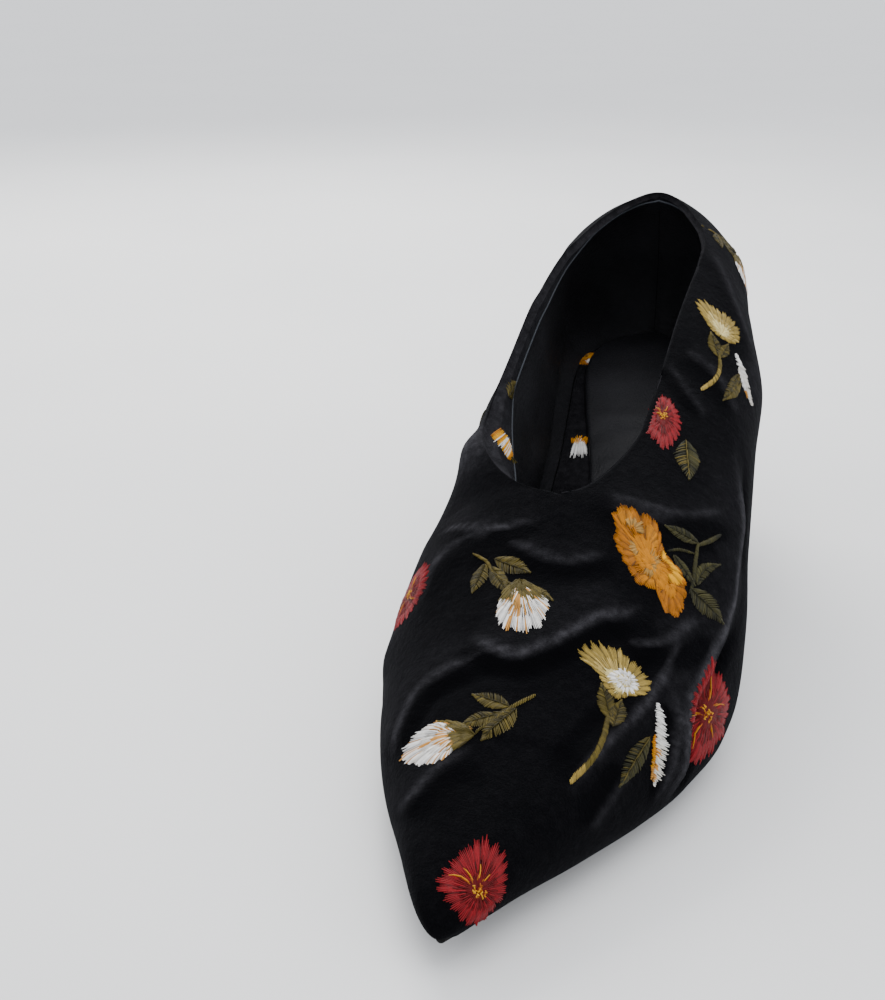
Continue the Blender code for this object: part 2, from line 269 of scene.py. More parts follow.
# %% Sizes and tables of the last
LENGTH = 262.0 * MM
BALL_HALF = 34.0 * MM
HEEL_RISE = 49.0 * MM
TOE_SPRING = 5.0 * MM
TIP_SHIFT = -10.0 * MM
COLLAR_TOP = 108.0 * MM
BACK_LEAN = 15.0 * MM
BACK_BULGE = 3.0 * MM
THROAT = 0.600
HEEL_ROUND = 0.135
TIP_ROUND = 0.037
RIDGE_OFF = 0.15
RIDGE_EASE = 0.18
LOW_SHARE = 0.22
WALL = 1.8 * MM
SOLE_THICK = 2.6 * MM
SOLE_EDGE = 1.0 * MM
INSOLE_THICK = 2.0 * MM
SOCK_THICK = 2.2 * MM
SOCK_INSET = 3.4 * MM
FIT = 0.3 * MM
SOLID_TIP = 0.970
TIP_THICK = 6.0 * MM
HEEL_BREAST = 0.200
BASE_BACK, BASE_FRONT = 0.030, 0.135
BASE_HALF = 13.5 * MM
HEEL_INSET = 1.5 * MM
HEEL_BACK = LENGTH * (BASE_BACK + BASE_FRONT) / 2

SECTIONS = np.array([
    # share, foot, lat, med, tip, rise, spring, low, ridge, full
    [0.00, 0.660, 0.17, 0.17, 0.00, 1.02, 0.00, 0.168, 1.020, 2.60],
    [0.08, 0.690, 0.22, 0.20, 0.00, 1.00, 0.00, 0.168, 1.000, 2.60],
    [0.16, 0.680, 0.29, 0.23, 0.00, 0.97, 0.00, 0.168, 0.960, 2.60],
    [0.25, 0.630, 0.44, 0.28, 0.00, 0.87, 0.00, 0.168, 0.900, 2.60],
    [0.34, 0.590, 0.58, 0.35, 0.00, 0.70, 0.00, 0.168, 0.820, 2.60],
    [0.43, 0.600, 0.58, 0.42, 0.00, 0.49, 0.00, 0.160, 0.740, 2.60],
    [0.52, 0.730, 0.47, 0.42, 0.00, 0.28, 0.00, 0.140, 0.650, 2.60],
    [0.60, 0.900, 0.37, 0.36, 0.08, 0.12, 0.00, 0.120, 0.540, 2.50],
    [0.66, 0.985, 0.29, 0.28, 0.17, 0.02, 0.00, 0.105, 0.460, 2.40],
    [0.70, 0.985, 0.25, 0.25, 0.24, 0.00, 0.00, 0.096, 0.412, 2.35],
    [0.76, 0.890, 0.21, 0.21, 0.36, 0.00, 0.00, 0.086, 0.350, 2.35],
    [0.82, 0.725, 0.19, 0.19, 0.53, 0.00, 0.18, 0.078, 0.296, 2.35],
    [0.88, 0.510, 0.17, 0.17, 0.70, 0.00, 0.42, 0.070, 0.247, 2.35],
    [0.94, 0.275, 0.14, 0.14, 0.86, 0.00, 0.71, 0.065, 0.200, 2.35],
    [1.00, 0.083, 0.11, 0.11, 1.00, 0.00, 1.00, 0.056, 0.155, 2.35]])
SHARE, FOOT, LAT, MED, TIP, RISE, SPRING, LOW, RIDGE, FULL = range(10)

COLLAR = np.array([
    # share, high, lateral, medial
    [0.000, 1.000, 0.25, 0.25],
    [0.020, 0.996, 0.26, 0.26],
    [0.040, 0.988, 0.295, 0.30],
    [0.060, 0.979, 0.33, 0.35],
    [0.080, 0.968, 0.36, 0.39],
    [0.100, 0.957, 0.40, 0.43],
    [0.140, 0.937, 0.48, 0.52],
    [0.180, 0.914, 0.53, 0.61],
    [0.220, 0.889, 0.52, 0.70],
    [0.270, 0.854, 0.48, 0.765],
    [0.330, 0.802, 0.43, 0.82],
    [0.400, 0.722, 0.38, 0.88],
    [0.460, 0.660, 0.335, 0.905],
    [0.505, 0.618, 0.30, 0.895],
    [0.540, 0.588, 0.21, 0.83],
    [0.565, 0.569, 0.125, 0.72],
    [0.585, 0.553, 0.03, 0.54],
    [0.596, 0.543, -0.07, 0.36],
    [0.600, 0.540, -0.15, 0.15]])
HIGH, EDGE_LAT, EDGE_MED = 1, 2, 3

HEEL_PROFILE = np.array([
    # down, blend
    [0.00, 0.00], [0.12, 0.24], [0.28, 0.52], [0.46, 0.76], [0.66, 0.93], [0.84, 0.99], [1.00, 1.00]])
LATERAL, MEDIAL = 1.0, -1.0
print("last", round(LENGTH / MM), "mm long,", len(SECTIONS), "sections,", len(COLLAR), "places of the collar")


# %% Surface of the last
def curve(table, col, share):
    """Cubic through one column of a table, slopes limited so that it never overshoots."""
    x, y = table[:, 0], table[:, col]
    step = np.diff(x)
    slope = np.diff(y) / step
    m = np.zeros_like(y)
    same = slope[:-1] * slope[1:] > 0
    w1, w2 = 2 * step[1:] + step[:-1], step[1:] + 2 * step[:-1]
    top = np.where(same, (w1 + w2) * slope[:-1] * slope[1:], 0.0)
    m[1:-1] = top / np.where(same, w1 * slope[1:] + w2 * slope[:-1], 1.0)
    m[0], m[-1] = slope[0], slope[-1]
    s = np.clip(share, x[0], x[-1])
    i = np.clip(np.searchsorted(x, s, side="right") - 1, 0, len(x) - 2)
    t = (s - x[i]) / step[i]
    return ((1 + 2 * t) * (1 - t) ** 2 * y[i] + t * (1 - t) ** 2 * step[i] * m[i]
            + t * t * (3 - 2 * t) * y[i + 1] + t * t * (t - 1) * step[i] * m[i + 1])


def smooth(t):
    """Smooth step: 0 below 0, 1 above 1, flat at both ends."""
    t = np.clip(t, 0, 1)
    return t * t * (3 - 2 * t)


def heel_round(s, inset=0.0):
    """Quarter ellipse by which the plan outline opens from the heel's back."""
    reach = HEEL_ROUND - inset / LENGTH
    return np.sqrt(np.clip(1 - (np.clip(HEEL_ROUND - s, 0, reach) / reach) ** 2, 0, 1))


def tip_round(s):
    """Hyperbola by which the plan outline opens from the toe's tip."""
    t = 1 - s
    return np.sqrt(np.clip(t * t + 2 * TIP_ROUND * t, 0, None)) / (t + TIP_ROUND)


def seat(s):
    """Height of the feather line, which is also the top of the outsole."""
    return SOLE_THICK + curve(SECTIONS, RISE, s) * HEEL_RISE + curve(SECTIONS, SPRING, s) * TOE_SPRING


def middle(s):
    """Centre line's x, which swings to the medial side at the toe."""
    return curve(SECTIONS, TIP, s) * TIP_SHIFT


def shell(s, v, side, inset=0.0):
    """Points of the last at places (s, v) on a side; the arrays share one shape.

    s is the share of the length, and v runs from 0 at the feather line to 1 at the collar
    or the ridge. Below the widest row the section is a quarter ellipse. Above it, it is a
    superellipse: width times cos(a) and height times sin(a), both to the power 2 / full.
    """
    s, v, side = np.broadcast_arrays(np.asarray(s, float), np.asarray(v, float), np.asarray(side, float))
    heel, tip = heel_round(s, inset), tip_round(s)
    more = np.where(side > 0, curve(SECTIONS, LAT, s), curve(SECTIONS, MED, s))
    foot = (curve(SECTIONS, FOOT, s) * BALL_HALF * tip - inset) * heel
    wide = ((curve(SECTIONS, FOOT, s) + more) * BALL_HALF * tip - inset) * heel
    base = seat(s)
    bottom = base + inset
    widest = base + curve(SECTIONS, LOW, s) * COLLAR_TOP * tip
    full = curve(SECTIONS, FULL, s)
    behind = s < THROAT
    edge = np.where(side > 0, curve(COLLAR, EDGE_LAT, s), curve(COLLAR, EDGE_MED, s))
    edge = edge * BALL_HALF * heel_round(s)
    collar = curve(COLLAR, HIGH, s) * COLLAR_TOP
    ridge = base + (curve(SECTIONS, RIDGE, s) * COLLAR_TOP - base) * np.where(s > 0.85, tip, 1.0)
    near = np.clip(1 - np.abs(s - THROAT) / RIDGE_EASE, 0, 1)
    off = -side * RIDGE_OFF * BALL_HALF * near ** 2 * (3 - 2 * near)
    outer = (curve(SECTIONS, FOOT, s) + more) * BALL_HALF * tip * heel_round(s)
    u = np.where(behind, np.clip((edge - off) / np.maximum(outer - off, 1e-6), 0.0, 0.97), 0.0)
    height = np.where(behind, (collar - widest) / (1 - u ** full) ** (1 / full), ridge - widest)
    last = np.where(behind, np.arccos(np.clip(u ** (full / 2), 0, 1)), np.pi / 2)
    b = np.clip(v / LOW_SHARE, 0, 1) * np.pi / 2
    a = np.clip((v - LOW_SHARE) / (1 - LOW_SHARE), 0, 1) * last
    w_low = foot + (wide - foot) * np.sin(b)
    z_low = bottom + (widest - bottom) * (1 - np.cos(b))
    w_high = off + (wide - off) * np.clip(np.cos(a), 0, 1) ** (2 / full)
    z_high = widest + (height - inset) * np.sin(a) ** (2 / full)
    w = np.where(v < LOW_SHARE, w_low, w_high)
    z = np.where(v < LOW_SHARE, z_low, z_high)
    seat_top = SOLE_THICK + HEEL_RISE
    up = np.clip((z - seat_top) / (COLLAR_TOP - seat_top), 0, 1)
    fade = np.clip(1 - s / 0.3, 0, 1) ** 2
    y = HEEL_BACK - s * LENGTH + (BACK_BULGE * np.sin(np.pi * up) - BACK_LEAN * up ** 2) * fade
    return np.stack([middle(s) + side * w, y, z], -1)


def unit(vectors):
    """Vectors made one long."""
    return vectors / np.maximum(np.linalg.norm(vectors, axis=-1, keepdims=True), 1e-12)


def shell_normal(s, v, side, inset=0.0):
    """Outward normal: the cross product of the slopes along and around the last."""
    s, v, side = np.broadcast_arrays(np.asarray(s, float), np.asarray(v, float), np.asarray(side, float))
    along = (shell(np.clip(s + 0.0008, 0, 0.9995), v, side, inset)
             - shell(np.clip(s - 0.0008, 0, 0.9985), v, side, inset))
    around = shell(s, np.clip(v + 0.004, 0, 1), side, inset) - shell(s, np.clip(v - 0.004, 0, 1), side, inset)
    n = -np.cross(along, around) * side[..., None]
    n[..., 0] = np.where(s < 1e-6, 0.0, n[..., 0])
    return unit(n)


def at_chart(s, q):
    """Chart place (s, q), q lateral above 0 and medial below, as (s, v, side)."""
    return np.asarray(s, float), 1 - np.abs(np.asarray(q, float)), np.where(np.asarray(q) < 0, -1.0, 1.0)


print("toe", (shell(0.999, 0.5, 1.0) / MM).round(1), "throat", (shell(THROAT, 1.0, 1.0) / MM).round(1))

# %% [markdown]
# The velvet isn't stretched hard over the last: it is laid in soft folds that run across
# the instep and hang over the lateral side. A maker pushes the cloth into these folds by
# hand and tacks them down, so each has its own place, height and lean. Here each fold is a
# line through places (s, q) on the last, with a crown that is steep on one side.

# %% Folds and hollows
# line: places (s, q) along the crown. high: crown's height, mm. steep, gentle: widths to
# the left and right of the line when seen from outside, mm. trough: depth of the crease at the
# foot of the first side, mm. lean: how far the crown hangs over that side, mm.
FOLDS = [
    # Across the medial side of the throat
    dict(line=[(.606, -.450), (.612, -.404), (.625, -.301), (.636, -.207), (.637, -.122), (.632, -.060),
               (.628, -.020)],
         high=1.0, steep=2.2, gentle=4.5, trough=0.7, lean=0.5),
    # Broad fold below it, rising from the medial side to the middle of the instep
    dict(line=[(.700, -.470), (.688, -.429), (.667, -.404), (.650, -.348), (.643, -.279), (.647, -.191),
               (.650, -.130)],
         high=0.8, steep=5.0, gentle=5.0, trough=0.4, lean=0.0),
    dict(line=[(.650, -.140), (.656, -.072), (.665, -.019), (.669, .009), (.661, .078), (.651, .119)],
         high=0.55, steep=3.0, gentle=4.5, trough=0.35, lean=0.2),
    # The long soft ridge across the middle of the vamp
    dict(line=[(.752, -.200), (.758, -.147), (.766, -.082), (.769, -.034), (.755, .016), (.737, .069),
               (.719, .122), (.707, .191), (.691, .241)],
         high=1.2, steep=3.6, gentle=9.0, trough=0.9, lean=0.7),
    # Its left arm, running down to the medial side
    dict(line=[(.860, -.580), (.850, -.539), (.826, -.461), (.803, -.379), (.786, -.257), (.775, -.163),
               (.761, -.090)],
         high=1.0, steep=3.6, gentle=7.0, trough=0.9, lean=0.5),
    # Small dip and ridge below the large flower
    dict(line=[(.735, .190), (.731, .216), (.728, .266), (.718, .323), (.689, .386), (.670, .420)],
         high=0.7, steep=3.5, gentle=4.0, trough=0.5, lean=0.2),
    # The drape along the lateral side, which hangs over the lower wall
    dict(line=[(.806, .850), (.797, .787), (.785, .724), (.774, .621), (.758, .542), (.734, .495),
               (.696, .498), (.653, .520), (.614, .545), (.585, .530), (.544, .520), (.509, .480),
               (.472, .436), (.440, .420)],
         high=1.5, steep=2.6, gentle=8.0, trough=1.6, lean=1.2),
    # Two slim ridges below it, beside the small white flower
    dict(line=[(.700, .360), (.718, .370), (.758, .382), (.797, .376), (.828, .361), (.856, .357),
               (.880, .380)],
         high=0.8, steep=2.8, gentle=4.0, trough=0.5, lean=0.3),
    dict(line=[(.750, .420), (.758, .448), (.768, .514), (.784, .583), (.800, .677), (.809, .734),
               (.815, .800)],
         high=0.6, steep=2.0, gentle=2.6, trough=0.4, lean=0.2),
    dict(line=[(.830, .530), (.842, .561), (.856, .592), (.874, .643), (.885, .700)],
         high=0.45, steep=2.2, gentle=2.6, trough=0.3, lean=0.1),
    # Below the medial bud
    dict(line=[(.918, -.620), (.912, -.542), (.901, -.367), (.879, -.191), (.860, -.063)],
         high=0.6, steep=4.0, gentle=5.5, trough=0.4, lean=0.1),
    # Lateral quarter
    dict(line=[(.404, .000), (.411, .038), (.430, .100), (.447, .179), (.462, .240)],
         high=0.35, steep=2.4, gentle=4.5, trough=0.6, lean=0.0),
    dict(line=[(.378, .050), (.383, .122), (.392, .223), (.413, .361), (.430, .440)],
         high=0.45, steep=4.0, gentle=4.0, trough=0.3, lean=0.0),
    dict(line=[(.590, .040), (.594, .066), (.598, .157), (.596, .232), (.570, .354), (.550, .420)],
         high=0.6, steep=3.5, gentle=4.5, trough=0.4, lean=0.1),
    dict(line=[(.160, .010), (.173, .028), (.234, .210), (.285, .370), (.322, .480), (.350, .560)],
         high=0.5, steep=4.0, gentle=6.0, trough=0.3, lean=0.0),
    # Medial quarter and the back, seen from the other side
    dict(line=[(.300, -.060), (.330, -.200), (.352, -.380), (.360, -.560)],
         high=0.6, steep=3.5, gentle=6.0, trough=0.4, lean=0.1),
    dict(line=[(.440, -.080), (.470, -.240), (.480, -.420), (.470, -.600)],
         high=0.7, steep=3.5, gentle=7.0, trough=0.5, lean=0.2),
    dict(line=[(.560, -.620), (.620, -.640), (.680, -.660), (.740, -.700)],
         high=0.8, steep=3.0, gentle=6.0, trough=0.6, lean=0.4),
    dict(line=[(.120, -.300), (.180, -.420), (.250, -.480)],
         high=0.4, steep=4.0, gentle=5.0, trough=0.3, lean=0.0),
    dict(line=[(.080, .360), (.140, .440), (.210, .520)],
         high=0.4, steep=4.0, gentle=5.0, trough=0.3, lean=0.0),
]
# place (s, q), height, reach along and across, mm
HOLLOWS = [
    (.535, -.130, 3.0, 6.5, 7.0),      # puff beside the medial corner of the throat
    (.588, -.300, -1.9, 8.0, 9.0),     # slack below it
    (.690, -.100, -0.7, 9.0, 10.0),
    (.735, .330, -0.6, 10.0, 8.0),
    (.800, .100, -0.5, 10.0, 12.0),
    (.345, .600, 0.9, 9.0, 9.0),       # slack cloth over the lateral quarter
]
FOLD_STEPS = 70
FOLD_FADE = 0.22                           # share of a fold's line over which each end fades out
CREASE_AWAY, CREASE_WIDE = 1.55, 0.75      # place and width of the crease, in widths of the steep side
CREST_HIGHLIGHT, SLOPE_HIGHLIGHT, CREASE_SHADE = 0.37, 0.04, 0.3    # painted highlight on a fold's crest and gentle slope, painted shade in its crease, per mm of height
HOLLOW_HIGHLIGHT, HOLLOW_DEEP = 0.2, 12.0        # painted highlight on a raised hollow, and its reach into the cloth, mm
UNEVEN = 0.16                              # height of the general unevenness, mm


def through(points, steps):
    """Smooth curve through points, as many steps as asked: cubic with finite-difference slopes."""
    points = np.asarray(points, float)
    knots = np.concatenate([[0], np.cumsum(np.linalg.norm(np.diff(points, axis=0), axis=1))])
    slopes = np.gradient(points, knots, axis=0)
    t = np.linspace(0, knots[-1], steps)
    i = np.clip(np.searchsorted(knots, t, side="right") - 1, 0, len(knots) - 2)
    width = (knots[i + 1] - knots[i])[:, None]
    u = (t - knots[i])[:, None] / width
    return ((1 + 2 * u) * (1 - u) ** 2 * points[i] + u * (1 - u) ** 2 * width * slopes[i]
            + u * u * (3 - 2 * u) * points[i + 1] + u * u * (u - 1) * width * slopes[i + 1])


def resample(line, pitch, closed=False):
    """Places along a line of points, pitch apart, and their share of its length."""
    line = np.asarray(line, float)
    if closed:
        line = np.concatenate([line, line[:1]])
    run = np.concatenate([[0], np.cumsum(np.linalg.norm(np.diff(line, axis=0), axis=1))])
    t = np.linspace(0, run[-1], max(int(run[-1] / pitch), 4), endpoint=not closed)
    knot = np.clip(np.searchsorted(run, t, side="right") - 1, 0, len(run) - 2)
    part = (t - run[knot]) / (run[knot + 1] - run[knot])
    at = line[knot] + (line[knot + 1] - line[knot]) * part[:, None]
    return at, t / run[-1]


def chart_line(places):
    """Line on the last through chart places: its points and its normals."""
    sq = through(places, FOLD_STEPS)
    place = at_chart(sq[:, 0], sq[:, 1])
    return shell(*place), shell_normal(*place)


def bell(x, width):
    """Bell curve, 1 in the middle, about a third at width."""
    return np.exp(-(x / width) ** 2)


def fold_field(points, normals):
    """Move of every point by all folds, and its painted highlight and shade.

    For each fold the nearest place of its line gives the signed distance d across it. The
    crown is high * bell(d), steep on one side and gentle on the other; the crease is a
    narrower bell below its steep foot; both fade to nothing at the line's two ends. A hollow
    is a round bell about one place. Painted highlight lies on the crest, down the gentle
    side and on a raised hollow; painted shade lies in the crease.
    """
    flat, out = points.reshape(-1, 3), normals.reshape(-1, 3)
    move, painted_light = np.zeros_like(flat), np.zeros(len(flat))
    for fold in FOLDS:
        line, up = chart_line(fold["line"])
        reach = 3.2 * max(fold["gentle"], fold["steep"]) * MM
        low, high = line.min(0) - reach, line.max(0) + reach
        near = np.flatnonzero(((flat > low) & (flat < high)).all(1))
        gap = ((flat[near, None, :] - line[None]) ** 2).sum(-1)
        k = gap.argmin(1)
        along = unit(np.gradient(line, axis=0))
        across = unit(np.cross(up, along))
        away = flat[near] - line[k]
        d = (away * across[k]).sum(1) / MM
        far = np.sqrt(gap[np.arange(len(near)), k]) / MM
        d = np.sign(d) * np.maximum(np.abs(d), np.where((k == 0) | (k == FOLD_STEPS - 1), far, 0.0))
        share = k / (FOLD_STEPS - 1)
        ends = smooth(share / FOLD_FADE) * smooth((1 - share) / FOLD_FADE)
        crown = fold["high"] * np.where(d > 0, bell(d, fold["gentle"]), bell(d, fold["steep"]))
        foot = -fold["steep"] * CREASE_AWAY
        crease = fold["trough"] * bell(d - foot, fold["steep"] * CREASE_WIDE)
        h = (crown - crease) * ends * MM
        hang = fold["lean"] * bell(d + 0.3 * fold["steep"], fold["steep"]) * ends * MM
        move[near] += out[near] * h[:, None] - across[k] * hang[:, None]
        # painted highlight on the crest and down the gentle side, painted shade in the crease
        crest = bell(d - 0.2, 0.18 * fold["steep"] + 0.45) * CREST_HIGHLIGHT
        slope = bell(d - 0.5 * fold["gentle"], 0.8 * fold["gentle"]) * SLOPE_HIGHLIGHT * (d > -fold["steep"])
        painted_light[near] += ((crest + slope) * fold["high"] - crease * CREASE_SHADE) * ends
    for s, q, height, wide, tall in HOLLOWS:
        centre, up = shell(*at_chart(s, q)), shell_normal(*at_chart(s, q))
        away = (flat - centre) / MM
        front = np.array([0.0, -1.0, 0.0])
        front = unit(front - (front @ up) * up)
        x, y = away @ front, away @ np.cross(up, front)
        blob = bell(x, wide) * bell(y, tall) * bell(away @ up, HOLLOW_DEEP)
        move += out * (height * blob * MM)[:, None]
        # painted highlight on a raised hollow
        painted_light += blob * max(height, 0.0) * HOLLOW_HIGHLIGHT
    return move.reshape(points.shape), painted_light.reshape(points.shape[:-1])


WAVES = np.random.default_rng(7).normal(size=(26, 3))
PHASES = np.random.default_rng(8).uniform(0, 2 * np.pi, len(WAVES))


def uneven(points):
    """Gentle unevenness, about -1 to 1: a sum of waves 18 to 60 mm long in random directions."""
    pitch = np.linspace(1 / 0.060, 1 / 0.018, len(WAVES))[:, None]
    k = unit(WAVES) * pitch * 2 * np.pi
    return np.sin(points.reshape(-1, 3) @ k.T + PHASES).mean(1).reshape(points.shape[:-1]) * 3


def draped(s, v, side):
    """Outer face of the velvet at places on the last, with folds, and its painted highlight and shade."""
    points, normals = shell(s, v, side), shell_normal(s, v, side)
    move, painted_light = fold_field(points, normals)
    low = smooth(v / 0.14)
    calm = low * smooth((1.0 - s) / 0.03)
    wave = uneven(points) * UNEVEN * MM
    points = points + (move + normals * wave[..., None]) * calm[..., None]
    return points, painted_light * calm


print(len(FOLDS), "folds and", len(HOLLOWS), "hollows")

# %% [markdown]
# The upper is one closed skin: the velvet outside, a soft folded edge at the collar, a
# velvet facing inside the edge, and the leather lining below it. The outer face is a grid
# of stations along the last and rows from the feather line up. The rolled edge is a half
# turn from the outer face to the inner one.


# %% Build meshes from grids
def grid_quads(index):
    """Quads over a grid of vertex numbers."""
    return np.stack([index[:-1, :-1], index[1:, :-1], index[1:, 1:], index[:-1, 1:]], -1).reshape(-1, 4)


def add_piece(name, verts, quads, mats, slots=None, values=None, colours=None, weld=0.00001, tris=None,
              extra=None):
    """Object of a closed surface; doubles merged, faces turned outward, shaded smooth."""
    mesh = bpy.data.meshes.new(name)
    loops = quads.reshape(-1)
    sizes = np.full(len(quads), 4)
    if tris is not None:
        loops = np.concatenate([loops, tris.reshape(-1)])
        sizes = np.concatenate([sizes, np.full(len(tris), 3)])
    mesh.vertices.add(len(verts))
    mesh.vertices.foreach_set("co", np.asarray(verts, np.float32).ravel())
    mesh.loops.add(len(loops))
    mesh.loops.foreach_set("vertex_index", loops.astype(np.int32))
    mesh.polygons.add(len(sizes))
    mesh.polygons.foreach_set("loop_start", np.concatenate([[0], np.cumsum(sizes)[:-1]]).astype(np.int32))
    mesh.polygons.foreach_set("loop_total", sizes.astype(np.int32))
    for mat in mats:
        mesh.materials.append(mat)
    if slots is not None:
        mesh.polygons.foreach_set("material_index", np.asarray(slots, np.int32))
    mesh.update(calc_edges=True)
    if values is not None:
        # painted light per point: painted highlight and painted shade for the velvet's base colour
        mesh.attributes.new("painted_light", "FLOAT", "POINT").data.foreach_set("value", np.asarray(values, np.float32))
    if extra is not None:
        mesh.attributes.new("ease", "FLOAT", "POINT").data.foreach_set("value", np.asarray(extra, np.float32))
    if colours is not None:
        layer = mesh.attributes.new("thread", "FLOAT_COLOR", "POINT")
        layer.data.foreach_set("color", np.asarray(colours, np.float32).ravel())
    if weld:
        bm = bmesh.new()
        bm.from_mesh(mesh)
        bmesh.ops.remove_doubles(bm, verts=bm.verts, dist=weld)
        bmesh.ops.dissolve_degenerate(bm, edges=bm.edges, dist=weld * 0.5)
        bmesh.ops.recalc_face_normals(bm, faces=bm.faces)
        bm.to_mesh(mesh)
        bm.free()
    mesh.polygons.foreach_set("use_smooth", np.ones(len(mesh.polygons), bool))
    obj = bpy.data.objects.new(name, mesh)
    bpy.context.scene.collection.objects.link(obj)
    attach(obj, "root")
    return obj


def triangles(obj):
    """Triangles of a piece's mesh."""
    return sum(len(p.vertices) - 2 for p in obj.data.polygons)


# %% Upper: velvet, folded edge, facing and lining
STATIONS_BACK, STATIONS_FRONT = 150, 118
ROWS_OUT, ROWS_LOW, ROWS_LINING, ROWS_FACING, ROWS_ROLL = 104, 14, 15, 9, 8
EDGE_HIGHLIGHT, FACING_SHEEN = 0.26, 0.16              # painted highlight on the folded edge, even painted sheen on the facing
EASE_ROUNDS, EASE_STEP = 60, 0.6
EDGE_RADIUS, EDGE_PITCH = 0.30 * MM, 0.7 * MM  # cut edge of the lining
FACING = np.array([
    # share, depth of the facing on the lateral side, on the medial side, thickness of the
    # folded edge on each side, mm
    [0.00, 3.4, 3.4, 0.6, 0.6],
    [0.10, 4.6, 4.6, 0.8, 1.0],
    [0.25, 6.0, 5.6, 0.8, 1.5],
    [0.42, 7.5, 7.5, 0.8, 2.4],
    [0.46, 7.8, 9.0, 0.9, 5.0],
    [0.50, 8.0, 10.5, 0.9, 8.8],
    [0.53, 8.2, 12.0, 0.9, 12.0],
    [0.56, 8.5, 12.5, 0.9, 13.5],
    [0.59, 8.5, 12.0, 0.9, 8.5],
    [0.62, 8.5, 10.0, 0.5, 3.0],
    [0.66, 8.5, 9.0, 0.0, 0.0]])
LEAN = np.array([
    # share, how far the lining of the medial side leans in over the insole, how much
    # narrower the sock lining is on that side, mm
    [0.08, 0.0, 0.0], [0.15, 0.8, 0.0], [0.228, 2.2, 1.2], [0.303, 4.4, 3.9], [0.365, 6.2, 7.0],
    [0.43, 7.6, 9.0], [0.50, 8.0, 10.0], [0.56, 6.0, 9.4], [0.62, 3.0, 8.4], [0.68, 0.0, 8.0]])
SEAM_DEEP, SEAM_WIDE = 0.5 * MM, 1.1 * MM      # groove of the lining's seam at the back
FACING_LAT, FACING_MED, ROLL_LAT, ROLL_MED = 1, 2, 3, 4
FACING_END = 0.632            # the facing under the vamp ends here, share of the length
WRAP = 1.4 * MM               # how far the velvet comes down over the edge of the sole


def stations():
    """Stations from heel to toe, closer together at the heel, the throat and the tip."""
    back = THROAT * 0.5 * (1 - np.cos(np.pi * np.linspace(0, 1, STATIONS_BACK + 1)))
    front = np.sin(np.pi / 2 * np.linspace(0, 1, STATIONS_FRONT + 1)[1:])
    return np.concatenate([back, THROAT + (1 - THROAT) * front])


def inner_shares(s):
    """The same stations drawn in, so that the hollow stops short of the back and the tip."""
    near, far = 0.2, 0.8
    first = WALL / LENGTH
    behind = first + s * (near - first) / near
    ahead = far + (s - far) * (SOLID_TIP - far) / (1 - far)
    return np.where(s < near, behind, np.where(s > far, ahead, s))


def wall_length(s, side):
    """Length of the inner section above the widest row, up to the collar or ridge."""
    v = np.linspace(LOW_SHARE, 1, 24)[None, :]
    p = shell(s[:, None], v, side, WALL)
    return np.linalg.norm(np.diff(p, axis=1), axis=2).sum(1)


def facing_row(s, side):
    """Row v of the inner face where the facing ends, FACING below the edge."""
    depth = curve(FACING, FACING_LAT if side > 0 else FACING_MED, s) * MM
    return 1 - (1 - LOW_SHARE) * np.clip(depth / np.maximum(wall_length(s, side), 1e-4), 0.05, 0.6)


def inner_face(s, s_in, v_in, side):
    """Inner face at stations and rows: lining, and the facing on the thick folded edge.

    The cloth stands in from the wall by the roll's thickness at the facing's lower end, by
    a third of that at the edge, and by a smooth step down the lining. Low on the medial side
    the lining leans in over the insole, and the seam at the back is a narrow bell groove.
    Near the edge the face follows the folds of the outside.
    """
    inner = shell(s_in[:, None], v_in, side, WALL)
    out = shell_normal(s_in[:, None], v_in, side, WALL)
    shift, _ = fold_field(shell(s[:, None], v_in, side), shell_normal(s[:, None], v_in, side))
    follow = smooth((v_in - 0.72) / 0.25) * (s[:, None] < THROAT + 0.02)
    start = facing_row(s_in, side)[:, None]
    rise = np.clip((v_in - start) / np.maximum(1 - start, 1e-3), 0, 1)
    roll = curve(FACING, ROLL_LAT if side > 0 else ROLL_MED, s)[:, None] * MM
    push = roll * (1 - 0.66 * smooth(rise)) * smooth((v_in - start + 0.28) / 0.28)
    groove = SEAM_DEEP * bell(inner[..., 0] - middle(s_in)[:, None], SEAM_WIDE) * (s[:, None] < HEEL_ROUND)
    level = np.where(side == MEDIAL, 1.4, 0.0) * smooth((s[:, None, None] - 0.40) / 0.10)
    inward = unit(level * np.array([1.0, 0.0, 0.0]) - out)
    inner = inner + shift * follow[..., None] + out * groove[..., None] + inward * push[..., None]
    if side == MEDIAL:
        lean = curve(LEAN, 1, s)[:, None] * MM
        foot = smooth((v_in - 0.055) / 0.035) * (1 - smooth((v_in - 0.12) / 0.55))
        inner[..., 0] += lean * foot
        above = seat(s_in)[:, None] + FIT + INSOLE_THICK + 0.3 * MM
        lift = np.maximum(above - inner[..., 2], 0) * np.minimum(lean / MM, 1) * (v_in > 0.01)
        inner[..., 2] += lift
    return inner


